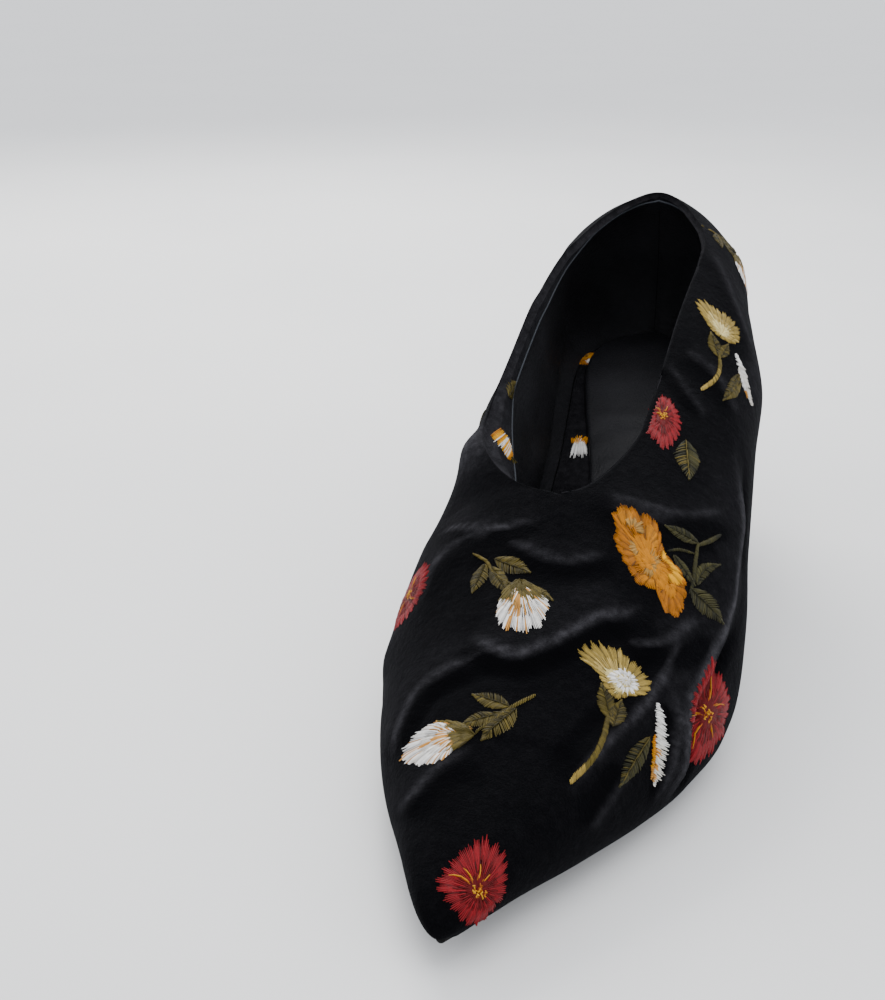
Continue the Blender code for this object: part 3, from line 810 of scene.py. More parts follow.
def build_upper():
    """Outer face, rolled edge, facing and lining of both sides, as one welded skin.

    Every station is one loop: the outer face upward, the roll, the inner face downward, and
    the margin that lies on the sole. The ease attribute marks what is smoothed afterwards.
    The roll is a half turn: middle + half * cos(t) + lift * radius * sin(t), where half
    reaches from the middle of the wall to its outer face.
    """
    s = stations()
    s_in = inner_shares(s)
    verts, quads, slots, light_rows, ease = [], [], [], [], []
    count = 0
    back = STATIONS_BACK
    for side in (LATERAL, MEDIAL):
        low = np.linspace(0, LOW_SHARE, ROWS_LOW + 1)[:-1]
        v = np.concatenate([low, np.linspace(LOW_SHARE, 1, ROWS_OUT - ROWS_LOW)])
        outer, painted_light = draped(s[:, None], v[None, :], side)
        outer[:, 0, 2] += FIT - WRAP * smooth((s - 0.12) / 0.20) * smooth((1 - s) / 0.014)
        outer[-1] = outer[-1].mean(0)
        vf = facing_row(s_in, side)
        lining_v = np.linspace(0, 1, ROWS_LINING + 1)[None, :-1] * vf[:, None]
        facing_v = vf[:, None] + (1 - vf[:, None]) * np.linspace(0, 1, ROWS_FACING)[None, :]
        v_in = np.concatenate([lining_v, facing_v], 1)
        inner = inner_face(s, s_in, v_in, side)
        # The rolled edge
        edge, mate = outer[:back + 1, -1], inner[:back + 1, -1]
        n_edge = shell_normal(s[:back + 1], 1.0, side)
        run = unit(np.gradient(edge, axis=0))
        lift = unit(np.cross(n_edge, run) * side)
        centre, half = (edge + mate) / 2, (edge - mate) / 2
        t = np.linspace(0, np.pi, ROWS_ROLL + 2)[None, 1:-1, None]
        radius = np.maximum(np.linalg.norm(half, axis=1) * 0.85, 1.0 * MM)[:, None, None]
        roll = (centre[:, None] + half[:, None] * np.cos(t) * (1 + 0.15 * np.sin(t))
                + lift[:, None] * radius * np.sin(t))
        fill = np.repeat(outer[back + 1:, -1:], ROWS_ROLL, 1)
        roll = np.concatenate([roll, fill])
        margin = inner[:, :1].copy()
        margin[:, 0, 2] = seat(s_in) + FIT
        loop = np.concatenate([outer, roll, inner[:, ::-1], margin], 1)
        index = count + np.arange(loop.shape[0] * loop.shape[1]).reshape(loop.shape[:2])
        count += index.size
        verts.append(loop.reshape(-1, 3))
        # painted highlight along the folded edge
        roll_highlight = np.repeat(painted_light[:, -1:], ROWS_ROLL, 1)
        roll_highlight[:back + 1] = np.maximum(roll_highlight[:back + 1], EDGE_HIGHLIGHT)
        loose = smooth(1 - np.abs(s - THROAT) / 0.075)[:, None] * smooth((1 - v[None, :]) / 0.04)
        soft = 0.4 * smooth((s - 0.38) / 0.08) * smooth((0.61 - s) / 0.02) * (side == MEDIAL)
        loose = np.maximum(loose, soft[:, None] * smooth((v[None, :] - 0.92) / 0.05))
        turned_in = smooth(np.linspace(1, 0, ROWS_FACING) / 0.6)
        inside = np.concatenate([np.ones(ROWS_ROLL), turned_in, np.zeros(ROWS_LINING + 1)])
        ease.append(np.concatenate([loose, soft[:, None] * inside[None, :]], 1).reshape(-1))
        # even painted sheen on the facing inside the edge
        inside_sheen = np.full(inner.shape[:2], FACING_SHEEN)
        light_rows.append(np.concatenate([painted_light, roll_highlight, inside_sheen, np.zeros((len(s), 1))], 1).reshape(-1))
        rows, rolled = len(v), len(v) + ROWS_ROLL
        bands = [(index[:, :rows], 0), (index[:back + 1, rows - 1:rolled + 1], 0),
                 (index[:, rolled:rolled + ROWS_FACING], 0),
                 (index[:, rolled + ROWS_FACING - 1:], 1), (index[:, [-1, 0]], 1)]
        for band, slot in bands:
            q = grid_quads(band)
            quads.append(q[:, ::-1] if side == MEDIAL else q)
            station = np.repeat(s[:band.shape[0] - 1], band.shape[1] - 1)
            under = (slot == 0) & (band[0, 0] >= index[0, rolled]) & (station > FACING_END)
            slots.append(np.where(under, 1, slot))
        last_cap = index[-1, rolled:]
        if side == LATERAL:
            cap_lat, nose = last_cap, index[-1, 0]
    cap_med = last_cap
    cap = np.stack([cap_lat[:-1], cap_lat[1:], cap_med[1:], cap_med[:-1]], -1)
    quads += [cap]
    slots += [np.ones(len(cap))]
    tri = np.array([[cap_lat[-1], nose, cap_med[-1]]])
    slots += [np.ones(1)]
    return add_piece("upper_velvet", np.concatenate(verts), np.concatenate(quads), [velvet, lining_leather],
                     slots=np.concatenate(slots), values=np.concatenate(light_rows), tris=tri,
                     extra=np.concatenate(ease))


def relax(obj, rounds):
    """Ease the places marked by the ease attribute towards the mean of their neighbours.

    Each round moves a point by mark * EASE_STEP * (mean of the neighbours - point).
    """
    mesh = obj.data
    count = len(mesh.vertices)
    points, mark = np.zeros(count * 3, np.float32), np.zeros(count, np.float32)
    mesh.vertices.foreach_get("co", points)
    mesh.attributes["ease"].data.foreach_get("value", mark)
    ends = np.zeros(len(mesh.edges) * 2, np.int32)
    mesh.edges.foreach_get("vertices", ends)
    one, two = ends.reshape(-1, 2).T
    a, b = np.concatenate([one, two]), np.concatenate([two, one])
    keep = mark[a] > 0
    a, b = a[keep], b[keep]
    number = np.maximum(np.bincount(a, minlength=count), 1)
    points = points.reshape(-1, 3).astype(float)
    for _ in range(rounds):
        mean = np.stack([np.bincount(a, points[b, k], count) for k in range(3)], 1) / number[:, None]
        points += (mark * EASE_STEP)[:, None] * np.where(mark[:, None] > 0, mean - points, 0.0)
    mesh.vertices.foreach_set("co", points.astype(np.float32).ravel())
    mesh.attributes.remove(mesh.attributes["ease"])
    mesh.update()


def tube(name, path, radius, mat, around):
    """Closed ring of cord along a closed path: a circle carried along it."""
    run = unit(np.roll(path, -1, 0) - np.roll(path, 1, 0))
    side = unit(np.cross(run, np.array([0.0, 0.0, 1.0])))
    up = np.cross(side, run)
    turn = np.linspace(0, 2 * np.pi, around, endpoint=False)
    ring = (path[:, None] + side[:, None] * (np.cos(turn) * radius)[None, :, None]
            + up[:, None] * (np.sin(turn) * radius)[None, :, None])
    index = np.arange(len(path) * around).reshape(len(path), around)
    index = np.concatenate([index, index[:1]], 0)
    index = np.concatenate([index, index[:, :1]], 1)
    return add_piece(name, ring.reshape(-1, 3), grid_quads(index)[:, ::-1], [mat])


def lining_edge():
    """Path of the lining's upper edge on the inner face: both sides, and under the vamp."""
    sides = []
    s = 0.5 * FACING_END * (1 - np.cos(np.pi * np.linspace(0, 1, 260)))
    s_in = inner_shares(s)
    for side in (LATERAL, MEDIAL):
        row = facing_row(s_in, side)
        row = row + (1 - row) * smooth((s - 0.56) / (FACING_END - 0.56))
        face = inner_face(s, s_in, row[:, None], side)[:, 0]
        out = shell_normal(s_in, row, side, WALL)
        sides.append(face - out * 0.10 * MM)
    path = np.concatenate([sides[0], sides[1][-2:0:-1]])
    return resample(path, EDGE_PITCH, closed=True)[0]


upper = build_upper()
relax(upper, EASE_ROUNDS)
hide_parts("upper")
edge_piece = tube("lining_edge", lining_edge(), EDGE_RADIUS, edge_leather, 8)
print("upper:", triangles(upper), "triangles, lining edge", triangles(edge_piece))

# %% [markdown]
# The sprigs are sewn in silk on top of the pile. A real one is made of satin stitches: a
# petal is a fan of threads from its base to its edge, in two or three rings of uneven
# length so that the colours run into each other; a leaf is two rows of slanting threads
# along its rib; a stem is a row of short threads laid across. Here each thread is its own
# small closed prism, laid on the draped velvet, and each sprig is one piece.

# %% Laying stitches on the velvet
PITCH = 0.40                 # from thread to thread, mm
BAND_STEPS = 60              # places along the middle of a row of satin stitches
OUTLINE_STEPS = 16           # places from point to point of an outline
LEAF_SLANT = 0.55            # how far a leaf's stitches run ahead, in half widths
RAY, RAY_HIGH = 0.38, 0.56   # width and height of the long single threads of an eye, mm
BESIDE = 0.25                # from a long thread to the second one beside it, mm
KNOT = 0.9                   # length of a knot's stitches, mm
TURNED = 0.05                # a stitch lies on cloth that faces the motif's way at least so much
THREAD = 0.46                # width of a thread, mm
SINK = 0.25                  # how deep a thread's flat base lies in the pile, mm
ALONG = 5                    # points along a thread
SPREAD = 0.50                # reach over which the cloth under a point is averaged, mm
HELD = 1.6                   # a stitch needs cloth within this reach all along, mm
chance = np.random.default_rng(21)


def mesh_points(obj):
    """Points and normals of the cloth: the vertices of the faces in the first material slot."""
    mesh = obj.data
    count = len(mesh.vertices)
    points, normals = np.zeros(count * 3, np.float32), np.zeros(count * 3, np.float32)
    mesh.vertices.foreach_get("co", points)
    mesh.vertices.foreach_get("normal", normals)
    slots, sides = np.zeros(len(mesh.polygons), np.int32), np.zeros(len(mesh.polygons), np.int32)
    mesh.polygons.foreach_get("material_index", slots)
    mesh.polygons.foreach_get("loop_total", sides)
    corners = np.zeros(len(mesh.loops), np.int32)
    mesh.loops.foreach_get("vertex_index", corners)
    cloth = np.unique(corners[np.repeat(slots, sides) == 0])
    return points.reshape(-1, 3)[cloth].astype(float), normals.reshape(-1, 3)[cloth].astype(float)


def anchor(place, toward):
    """Frame of a motif: its middle, and unit vectors towards, to the left and outward."""
    one, two = at_chart(*place), at_chart(*toward)
    middle_point, out = shell(*one), shell_normal(*one)
    up = shell(*two) - middle_point
    up = unit(up - (up @ out) * out)
    return middle_point, up, np.cross(out, up), out


def nearest_mean(xy, flat, data, reach):
    """Mean of data around each place, and whether any cloth lies within reach of it.

    The cloth's points are sorted into square cells, and each cell's wanted places look only
    at the points in and next to it.
    """
    cell = 3.0
    got, held = np.zeros((len(xy), data.shape[1])), np.zeros(len(xy), bool)
    boxes = np.floor(xy / cell).astype(int)
    for box in np.unique(boxes, axis=0):
        mine = np.flatnonzero((boxes == box).all(1))
        low, high = box * cell - reach - 1, (box + 1) * cell + reach + 1
        there = np.flatnonzero(((flat > low) & (flat < high)).all(1))
        if len(there) == 0:
            continue
        gap = ((xy[mine, None, :] - flat[None, there]) ** 2).sum(-1)
        weight = np.exp(-gap / SPREAD ** 2) + 1e-9 / (gap + 0.05) ** 4
        got[mine] = weight @ data[there] / weight.sum(1, keepdims=True)
        held[mine] = gap.min(1) < reach ** 2
    return got, held


def lay(xy, frame_of, cloth, reach, turned):
    """Points on the cloth, and its normals, at (x, y) mm towards and to the left of a motif.

    The cloth's own points near the motif are seen along the motif's outward axis, and their
    height and normal are averaged around each wanted place, weighted by a bell curve.
    """
    start, up, left, out = frame_of
    points, normals = cloth
    near = np.linalg.norm(points - start, axis=1) < (np.abs(xy).max() * 1.5 + 4) * MM
    near &= normals @ out > turned
    away = (points[near] - start) / MM
    flat = np.stack([away @ up, away @ left], 1)
    data = np.concatenate([(away @ out)[:, None], normals[near]], 1)
    got, held = nearest_mean(xy, flat, data, reach)
    place = start + (xy[:, :1] * up + xy[:, 1:] * left + got[:, :1] * out) * MM
    return place, unit(got[:, 1:]), held


# %% Kinds of stitching
def threads(start, end, colour, width=THREAD, high=0.32, bow=0.0):
    """Stitches from start to end, (x, y) mm; colour, width and height per stitch, bow sideways."""
    count = len(start)
    colour = np.broadcast_to(np.asarray(colour, float), (count, 3))
    return dict(start=np.asarray(start, float), end=np.asarray(end, float), colour=colour,
                width=np.broadcast_to(width, (count,)) * 1.0, high=np.broadcast_to(high, (count,)) * 1.0,
                bow=np.broadcast_to(bow, (count,)) * 1.0)


def mixed(colours, share, spread=0.10):
    """Thread colours along a list of colours by share 0..1, each a little lighter or darker."""
    colours = np.asarray(colours, float)
    share = np.clip(share + chance.normal(0, spread, len(share)), 0, 1) * (len(colours) - 1)
    low = np.minimum(share.astype(int), len(colours) - 2) if len(colours) > 1 else np.zeros(len(share), int)
    high = np.minimum(low + 1, len(colours) - 1)
    part = np.round(share - low)[:, None]
    tone = 1 + chance.normal(0, 0.11, (len(share), 1))
    return np.clip((colours[low] * (1 - part) + colours[high] * part) * tone, 0, 1)


def rounded(points, steps):
    """Closed smooth curve through points: cubic with slopes from the neighbours."""
    p = np.asarray(points, float)
    ahead, behind = np.roll(p, -1, 0), np.roll(p, 1, 0)
    slope = (ahead - behind) / 2
    u = np.linspace(0, 1, steps, endpoint=False)[None, :, None]
    a, b, m, n = p[:, None], ahead[:, None], slope[:, None], np.roll(slope, -1, 0)[:, None]
    return ((1 + 2 * u) * (1 - u) ** 2 * a + u * (1 - u) ** 2 * m
            + u * u * (3 - 2 * u) * b + u * u * (u - 1) * n).reshape(-1, 2)


def fan(base, outline, colours, rings=((1.0, 0.5), (0.62, 0.12)), notch=0.06, lobe=2.6, closed=True,
        high=0.32, spread=0.12, ragged=0.03):
    """Long-and-short stitches from a smooth outline in towards the base, ring by ring.

    The edge falls back by notch between round lobes, lobe mm apart, where the thread is
    darker too: notch * (1 - |sin|^0.7). Every stitch ends a little short or long by ragged.
    Each ring runs from one share of the radius to another.
    """
    out = []
    base = np.asarray(base, float)
    line = rounded(outline, OUTLINE_STEPS) if closed else through(outline, OUTLINE_STEPS * len(outline))
    edge, along = resample(line, PITCH, closed)
    valley = 1 - np.abs(np.sin(np.pi * along * max(round(len(edge) * PITCH / lobe), 1))) ** 0.7
    for k, (far, near) in enumerate(rings):
        step = 1 if far > 0.8 else 2 if far > 0.45 else 3
        e, f = edge[::step], valley[::step]
        n = len(e)
        far_at = far - notch * f * far + chance.normal(0, ragged, n)
        near_at = np.clip(near + chance.uniform(-0.12, 0.06, n), 0.0, None)
        start = base + (e - base) * far_at[:, None]
        end = base + (e - base) * near_at[:, None]
        colour = mixed(colours, np.full(n, k / max(len(rings) - 1, 1)), spread)
        if far > 0.6:
            colour = colour * (1 - 0.65 * f ** 1.5)[:, None]
        out.append(threads(end, start, colour, high=high + 0.08 * k))
    return out


def leaf(base, tip, width, colours, bend=0.0):
    """Two rows of slanting stitches along a rib from base to tip, as a fishbone stitch.

    The half width swells as sin(pi * t^0.85); bend moves the rib sideways by bend * sin(pi t).
    """
    base, tip = np.asarray(base, float), np.asarray(tip, float)
    length = np.linalg.norm(tip - base)
    ahead = (tip - base) / length
    aside = np.array([-ahead[1], ahead[0]])
    out = []
    n = max(int(length / (PITCH * 0.85)), 6)
    for sign in (1, -1):
        t = np.linspace(0.0, 0.97, n) + chance.normal(0, 0.008, n)
        t = np.clip(t, 0, 1)
        far = np.clip(t + LEAF_SLANT * width / length * 0.5, 0, 1)
        half = width / 2 * np.sin(np.pi * np.clip(far, 0, 1) ** 0.85) * (1 + chance.normal(0, 0.05, n))
        rib = base + ahead * (t * length)[:, None] + aside * (bend * np.sin(np.pi * t))[:, None]
        edge = (base + ahead * (far * length)[:, None]
                + aside * (bend * np.sin(np.pi * far) + sign * np.maximum(half, 0.12))[:, None])
        out.append(threads(rib, edge, mixed(colours, np.full(n, 0.35 if sign > 0 else 0.75), 0.22)))
    rib = base + ahead * np.linspace(-0.02, 0.92, 5)[:, None] * length
    rib = rib + aside * (bend * np.sin(np.pi * np.linspace(0, 0.92, 5)))[:, None]
    out.append(threads(rib[:-1], rib[1:], mixed(colours[-1:], np.zeros(4)), width=0.30, high=0.50))
    return out


def band(line, width, colours, slant, ends=0.35, high=0.34, ragged=0.06):
    """Satin stitches laid across a line; the width falls to ends of itself at both ends."""
    at, t = resample(through(line, BAND_STEPS), PITCH)
    ahead = unit(np.gradient(at, axis=0))
    aside = np.stack([-ahead[:, 1], ahead[:, 0]], 1)
    wide = np.interp(t, np.linspace(0, 1, len(np.atleast_1d(width))), np.atleast_1d(width))
    half = 0.5 * wide * (ends + (1 - ends) * np.sin(np.pi * np.clip(t, 0, 1)) ** 0.5)
    lead = ahead * (slant * half)[:, None]
    one, two = (half * (1 + chance.normal(0, ragged, len(t))) for _ in range(2))
    return [threads(at - aside * one[:, None] - lead, at + aside * two[:, None] + lead,
                    mixed(colours, t, 0.15), high=high)]


def ray_threads(lines, colours):
    """Single threads that lie on top: each line is a start, a place to bow through and an end."""
    line = np.asarray(lines, float)
    start, mid, end = line[:, 0], line[:, 1], line[:, 2]
    aside = end - start
    aside = unit(np.stack([-aside[:, 1], aside[:, 0]], 1))
    bow = ((mid - (start + end) / 2) * aside).sum(1)
    return [threads(start, end, mixed(colours, np.zeros(len(line)), 0.1), RAY, RAY_HIGH, bow),
            threads(start + aside * BESIDE, mid + aside * BESIDE, mixed(colours, np.ones(len(line)), 0.1),
                    RAY, RAY_HIGH, bow * 0.3)]


def knots(points, colours):
    """Short crossed stitches heaped at points, for a flower's eye."""
    turn = chance.uniform(0, np.pi, len(points))
    reach = np.stack([np.cos(turn), np.sin(turn)], 1) * KNOT / 2
    return [threads(points - reach, points + reach, mixed(colours, chance.uniform(0, 1, len(points)), 0.2),
                    high=0.62)]


def petal(base, outline, colours, inner, high):
    """One raised petal of the peony: a single ring of stitches in from its outer edge."""
    return fan(base, outline, colours, rings=((1.0, inner),), notch=0.14, lobe=3.4, closed=False,
               high=high, ragged=0.02)


def tuft(base, outline, colours, inner, lobe, high):
    """Loose pale stitches of very uneven length on top of a petal."""
    return fan(base, outline, colours, rings=((1.0, inner),), notch=0.25, lobe=lobe, closed=False,
               high=high, ragged=0.12)


def cream_head(base, outline):
    """Cream flower seen from the side, shaded in three rings."""
    return fan(base, outline, CREAM, rings=((1.0, 0.58), (0.70, 0.36), (0.46, 0.05)), notch=0.13,
               lobe=2.2, spread=0.2)


def bud_head(base, outline):
    """White petals of a closed bud, streaked with tan."""
    return fan(base, outline, SNOW + WHITE[2:] + SNOW + SNOW[1:] + WHITE[2:],
               rings=((1.0, 0.62), (0.74, 0.42), (0.50, 0.12)), notch=0.07, lobe=3.0, closed=False,
               spread=0.35)


def cup(base, outline, rings, notch):
    """Green cup that holds a bud."""
    return fan(base, outline, KHAKI[:2], rings=rings, notch=notch, lobe=1.9, closed=False, high=0.50,
               ragged=0.06)


def eye(centre, reach, count, colours):
    """A heap of knots in a small round."""
    turn = chance.uniform(0, 2 * np.pi, count)
    far = reach * np.sqrt(chance.uniform(0, 1, count))
    points = np.asarray(centre, float) + np.stack([np.cos(turn), np.sin(turn)], 1) * far[:, None]
    return knots(points, colours)


# %% Sewing a motif as one piece
def sew(name, frame_of, parts, cloth, grow=1.0, reach=HELD, turned=TURNED):
    """Make one piece of all stitches of a motif, laid on the cloth in the frame given.

    Each stitch is a prism of four long faces: its path goes down into the pile at both ends,
    and its width and height follow sin(pi t) to a small power, so that it swells at once.
    """
    rows = {key: np.concatenate([part[key] for part in parts]) for key in parts[0]}
    t = np.linspace(0, 1, ALONG)
    aside = rows["end"] - rows["start"]
    aside = np.stack([-aside[:, 1], aside[:, 0]], 1) / np.maximum(np.linalg.norm(aside, axis=1), 1e-6)[:,
                                                                                                       None]
    xy = rows["start"][:, None] + (rows["end"] - rows["start"])[:, None] * t[None, :, None]
    xy = xy + aside[:, None] * (rows["bow"][:, None] * np.sin(np.pi * t)[None])[..., None]
    points, normals, held = lay(xy.reshape(-1, 2) * grow, frame_of, cloth, reach, turned)
    held = held.reshape(-1, ALONG).all(1)
    rows = {key: value[held] for key, value in rows.items()}
    points = points.reshape(-1, ALONG, 3)[held]
    normals = normals.reshape(-1, ALONG, 3)[held]
    run = unit(np.gradient(points, axis=1))
    side = unit(np.cross(normals, run))
    swell = 0.30 + 0.70 * np.sin(np.pi * t)[None] ** 0.45
    half = (rows["width"][:, None] / 2 * (0.55 + 0.45 * np.sin(np.pi * t)[None] ** 0.5))[..., None] * MM
    top = (rows["high"][:, None] * swell)[..., None] * MM
    low = points - normals * SINK * MM
    ring = np.stack([low - side * half, points + normals * top - side * half * 0.5,
                     points + normals * top + side * half * 0.5, low + side * half], 2)
    count = len(ring)
    index = np.arange(count * ALONG * 4).reshape(count, ALONG, 4)
    index = np.concatenate([index, index[:, :, :1]], 2)
    a, b = index[:, :-1, :-1], index[:, 1:, :-1]
    c, d = index[:, 1:, 1:], index[:, :-1, 1:]
    quads = np.concatenate([np.stack([a, b, c, d], -1).reshape(-1, 4),
                            index[:, 0, 3::-1], index[:, -1, :4]])
    colour = np.repeat(rows["colour"], ALONG * 4, axis=0)
    colour = np.concatenate([colour, np.ones((len(colour), 1))], 1)
    piece = add_piece(name, ring.reshape(-1, 3), quads, [silk], colours=colour, weld=None)
    print(name, count, "stitches,", triangles(piece), "triangles")
    return piece


def silk_finish(name):
    """Silk thread: its own colour, a soft shine, and the twist of the fibres as fine bump."""
    n = Nodes(name)
    twist = n.noise(5200.0, 2.0)
    tone = n.noise(700.0, 3.0)
    colour = n.attribute("thread", "Color")
    shade = n.blend(n.span(tone, 0.35, 0.65, 0.0, 0.35), colour, n.blend(0.55, colour, (0.01, 0.008, 0.006)))
    n.set(Base_Color=shade, Roughness=n.span(twist, 0.3, 0.7, 0.45, 0.62),
          Specular_IOR_Level=0.10, Normal=n.bump(twist, 0.00010, 0.6))
    return n.mat


# %% Silk and its colours
silk = silk_finish("silk_thread")
RED = ((0.150, 0.0040, 0.0070), (0.070, 0.0006, 0.0016), (0.030, 0.0004, 0.0008))
GOLD = ((0.300, 0.120, 0.0030), (0.400, 0.190, 0.0080), (0.200, 0.050, 0.0020))
ORANGE = ((0.230, 0.075, 0.0006), (0.310, 0.112, 0.0008), (0.380, 0.160, 0.0012))
YELLOW = ((0.500, 0.230, 0.0010), (0.440, 0.170, 0.0010))
TAN = ((0.240, 0.130, 0.0300), (0.340, 0.210, 0.0700))
CREAM = ((0.200, 0.140, 0.0300), (0.300, 0.220, 0.0650), (0.420, 0.350, 0.1500))
WHITE = ((0.500, 0.480, 0.440), (0.540, 0.530, 0.510), (0.360, 0.170, 0.0350))
SNOW = ((0.560, 0.550, 0.530), (0.480, 0.460, 0.420))
KHAKI = ((0.070, 0.052, 0.0085), (0.046, 0.035, 0.0060), (0.020, 0.016, 0.0035))
OLIVE = ((0.034, 0.031, 0.0090), (0.023, 0.021, 0.0065), (0.010, 0.010, 0.0035))


print("silk threads lie", PITCH, "mm apart")

# %% [markdown]
# Each motif is drawn flat, in millimetres from its middle: first towards the place that it
# points at, then to the left. The same few kinds of stitching make them all, and what lies
# higher is drawn later: the eye over the petals, the pale tufts over the orange.


# %% Shapes of the motifs
def aster(tips, rays, heart, eye_size=1.4):
    """Red flower of many narrow petals with a gold eye and a few long gold threads."""
    return (fan(heart, tips, RED[:2], rings=((1.0, 0.50), (0.70, 0.30), (0.42, 0.06)), notch=0.16, lobe=2.3,
                ragged=0.035)
            + ray_threads(rays, GOLD) + eye(heart, eye_size, 24, GOLD))


TOE_ASTER = aster([(10.8, 0.0), (10.0, -2.4), (8.9, -4.2), (5.9, -5.5), (3.4, -5.8), (0.2, -6.3),
                   (-1.6, -5.2),
                   (-4.6, -3.2), (-6.6, 0.8), (-4.8, 4.2), (-2.1, 6.5), (0.8, 8.0), (4.8, 5.8), (7.4, 4.1),
                   (8.7, 2.1)],
                  [[(0.5, 1.3), (2.0, 3.5), (2.0, 6.1)], [(0.7, 0.9), (2.3, 1.7), (3.9, 3.3)],
                   [(1.2, 0.3), (3.1, -0.1), (5.5, 0.0)], [(1.2, -0.6), (2.1, -1.2), (3.4, -2.2)]],
                  (-0.3, -0.1))
SIDE_ASTER = aster([(12.7, -0.4), (11.3, -4.5), (9.4, -6.9), (7.0, -11.2), (3.6, -12.8), (-0.1, -11.6),
                    (-2.2, -14.1), (-5.2, -9.7), (-7.5, -9.2), (-9.3, -5.7), (-11.5, -3.0), (-12.5, 1.6),
                    (-9.9, 4.7), (-6.5, 6.7), (-3.0, 7.7), (0.3, 7.4), (4.0, 6.0), (7.1, 3.8), (10.2, 2.4)],
                   [[(1.4, -0.3), (5.8, -1.8), (10.1, -2.6)], [(1.1, -1.6), (2.9, -4.4), (3.7, -8.3)],
                    [(-0.9, 0.9), (-2.0, 4.7), (-3.1, 7.0)], [(-2.5, 0.5), (-5.8, 2.1), (-9.5, 1.3)],
                    [(-2.0, -1.3), (-3.8, -4.1), (-5.3, -6.0)]], (-0.6, -0.4), eye_size=2.0)
RIM_ASTER = (aster([(7.9, 0.0), (7.1, -2.6), (3.3, -4.0), (-2.3, -4.6), (-8.0, -3.0), (-11.1, -0.5),
                    (-13.3, 1.6), (-10.0, 3.5), (-6.6, 5.9), (-1.7, 4.8), (3.3, 3.1), (7.1, 1.8)],
                   [[(0.8, 0.5), (2.7, 1.3), (3.0, 2.2)], [(0.6, -0.2), (2.2, -1.2), (3.7, -1.7)]],
                   (-0.4, 0.1),
                   eye_size=1.6)
             + leaf((-8.5, -5.0), (-22.5, -4.0), 6.5, OLIVE + KHAKI[:1]))
ARCH_ASTER = aster([(9.5, 0.5), (8.0, -3.5), (5.0, -6.0), (1.0, -7.5), (-3.5, -7.0), (-7.5, -4.5),
                    (-9.5, 0.0), (-7.0, 4.5), (-2.5, 6.8), (2.5, 6.5), (6.5, 4.5)],
                   [[(1, 0), (3.5, 0.8), (6.0, 2.2)], [(0, -1), (-1.0, -3.5), (-0.5, -5.5)],
                    [(-1, 0.5), (-3.5, 1.5), (-5.5, 0.8)]], (0.0, 0.0), eye_size=1.7)

PEONY = (fan((-1.5, 0.2), [(16.2, 4.0), (16.6, 0.8), (13.4, -1.8), (12.2, -4.3), (8.0, -5.2), (3.3, -4.5),
                           (-0.6, -5.4), (-3.8, -7.3), (-8.2, -7.1), (-12.4, -5.0), (-16.1, -1.8),
                           (-14.6, 0.6),
                           (-10.8, 1.0), (-7.8, 1.6), (-6.5, 4.9), (-2.2, 6.1), (2.7, 6.7), (7.7, 6.8),
                           (10.0, 5.2), (13.5, 5.2)],
             ORANGE[:2], rings=((1.0, 0.66), (0.78, 0.46), (0.55, 0.22), (0.35, 0.02)), notch=0.09, lobe=3.6,
             ragged=0.012)
         + petal((7.5, 3.2), [(15.6, 4.2), (16.0, 1.2), (12.9, -0.6), (10.5, 0.6)], ORANGE[1:], 0.35, 0.46)
         + petal((3.0, 0.2), [(11.2, -2.6), (9.8, -4.4), (5.8, -4.4), (3.0, -3.8)], ORANGE[1:], 0.30, 0.46)
         + petal((1.6, 1.6), [(10.6, 5.2), (7.4, 6.4), (2.7, 6.2), (-2.0, 5.8)], ORANGE[:2], 0.35, 0.48)
         + petal((-4.0, 0.6), [(-3.8, 4.8), (-7.0, 3.8), (-8.4, 1.2)], ORANGE[1:], 0.30, 0.48)
         + fan((-7.0, -2.4), [(-9.6, 0.8), (-14.2, 0.2), (-15.4, -2.0), (-12.0, -4.7), (-8.6, -6.4)],
               ORANGE[:2],
               rings=((1.0, 0.40), (0.55, 0.10)), notch=0.05, closed=False, high=0.46)
         + fan((-1.0, -2.2), [(2.4, -4.2), (-0.8, -5.0), (-3.8, -6.6), (-7.6, -6.4), (-8.0, -3.4)], YELLOW,
               rings=((1.0, 0.45),), notch=0.06, closed=False, high=0.50)
         + tuft((8.8, 1.8), [(13.4, 3.0), (13.0, 0.2), (10.0, -1.8), (6.6, -1.4)], TAN, 0.25, 1.7, 0.54)
         + tuft((3.6, 1.4), [(6.6, 3.8), (3.4, 4.6), (0.6, 3.6)], TAN, 0.25, 1.7, 0.56)
         + tuft((-1.4, 1.0), [(3.4, -1.6), (0.6, -2.6), (-3.6, -1.2), (-5.4, 1.4), (-3.8, 3.2)],
                TAN[:1] + YELLOW, 0.30, 1.9, 0.56)
         + leaf((3.6, -14.1), (9.0, -6.7), 3.6, OLIVE)
         + band([(3.0, -13.8), (4.4, -18.0), (6.2, -21.6)], 1.3, OLIVE, 0.6)
         + band([(3.6, -14.1), (-2.4, -11.2), (-7.1, -9.1), (-9.7, -7.2)], 1.1, OLIVE, 0.6)
         + band([(0.8, -11.9), (2.0, -8.5), (1.9, -5.3)], 0.9, OLIVE, 0.5)
         + leaf((-7.6, -10.1), (-2.2, -18.6), 3.2, OLIVE, bend=1.6)
         + leaf((-8.6, -7.9), (-17.6, -14.2), 6.4, OLIVE) + leaf((0.6, -6.4), (-8.0, -9.4), 2.6, OLIVE))

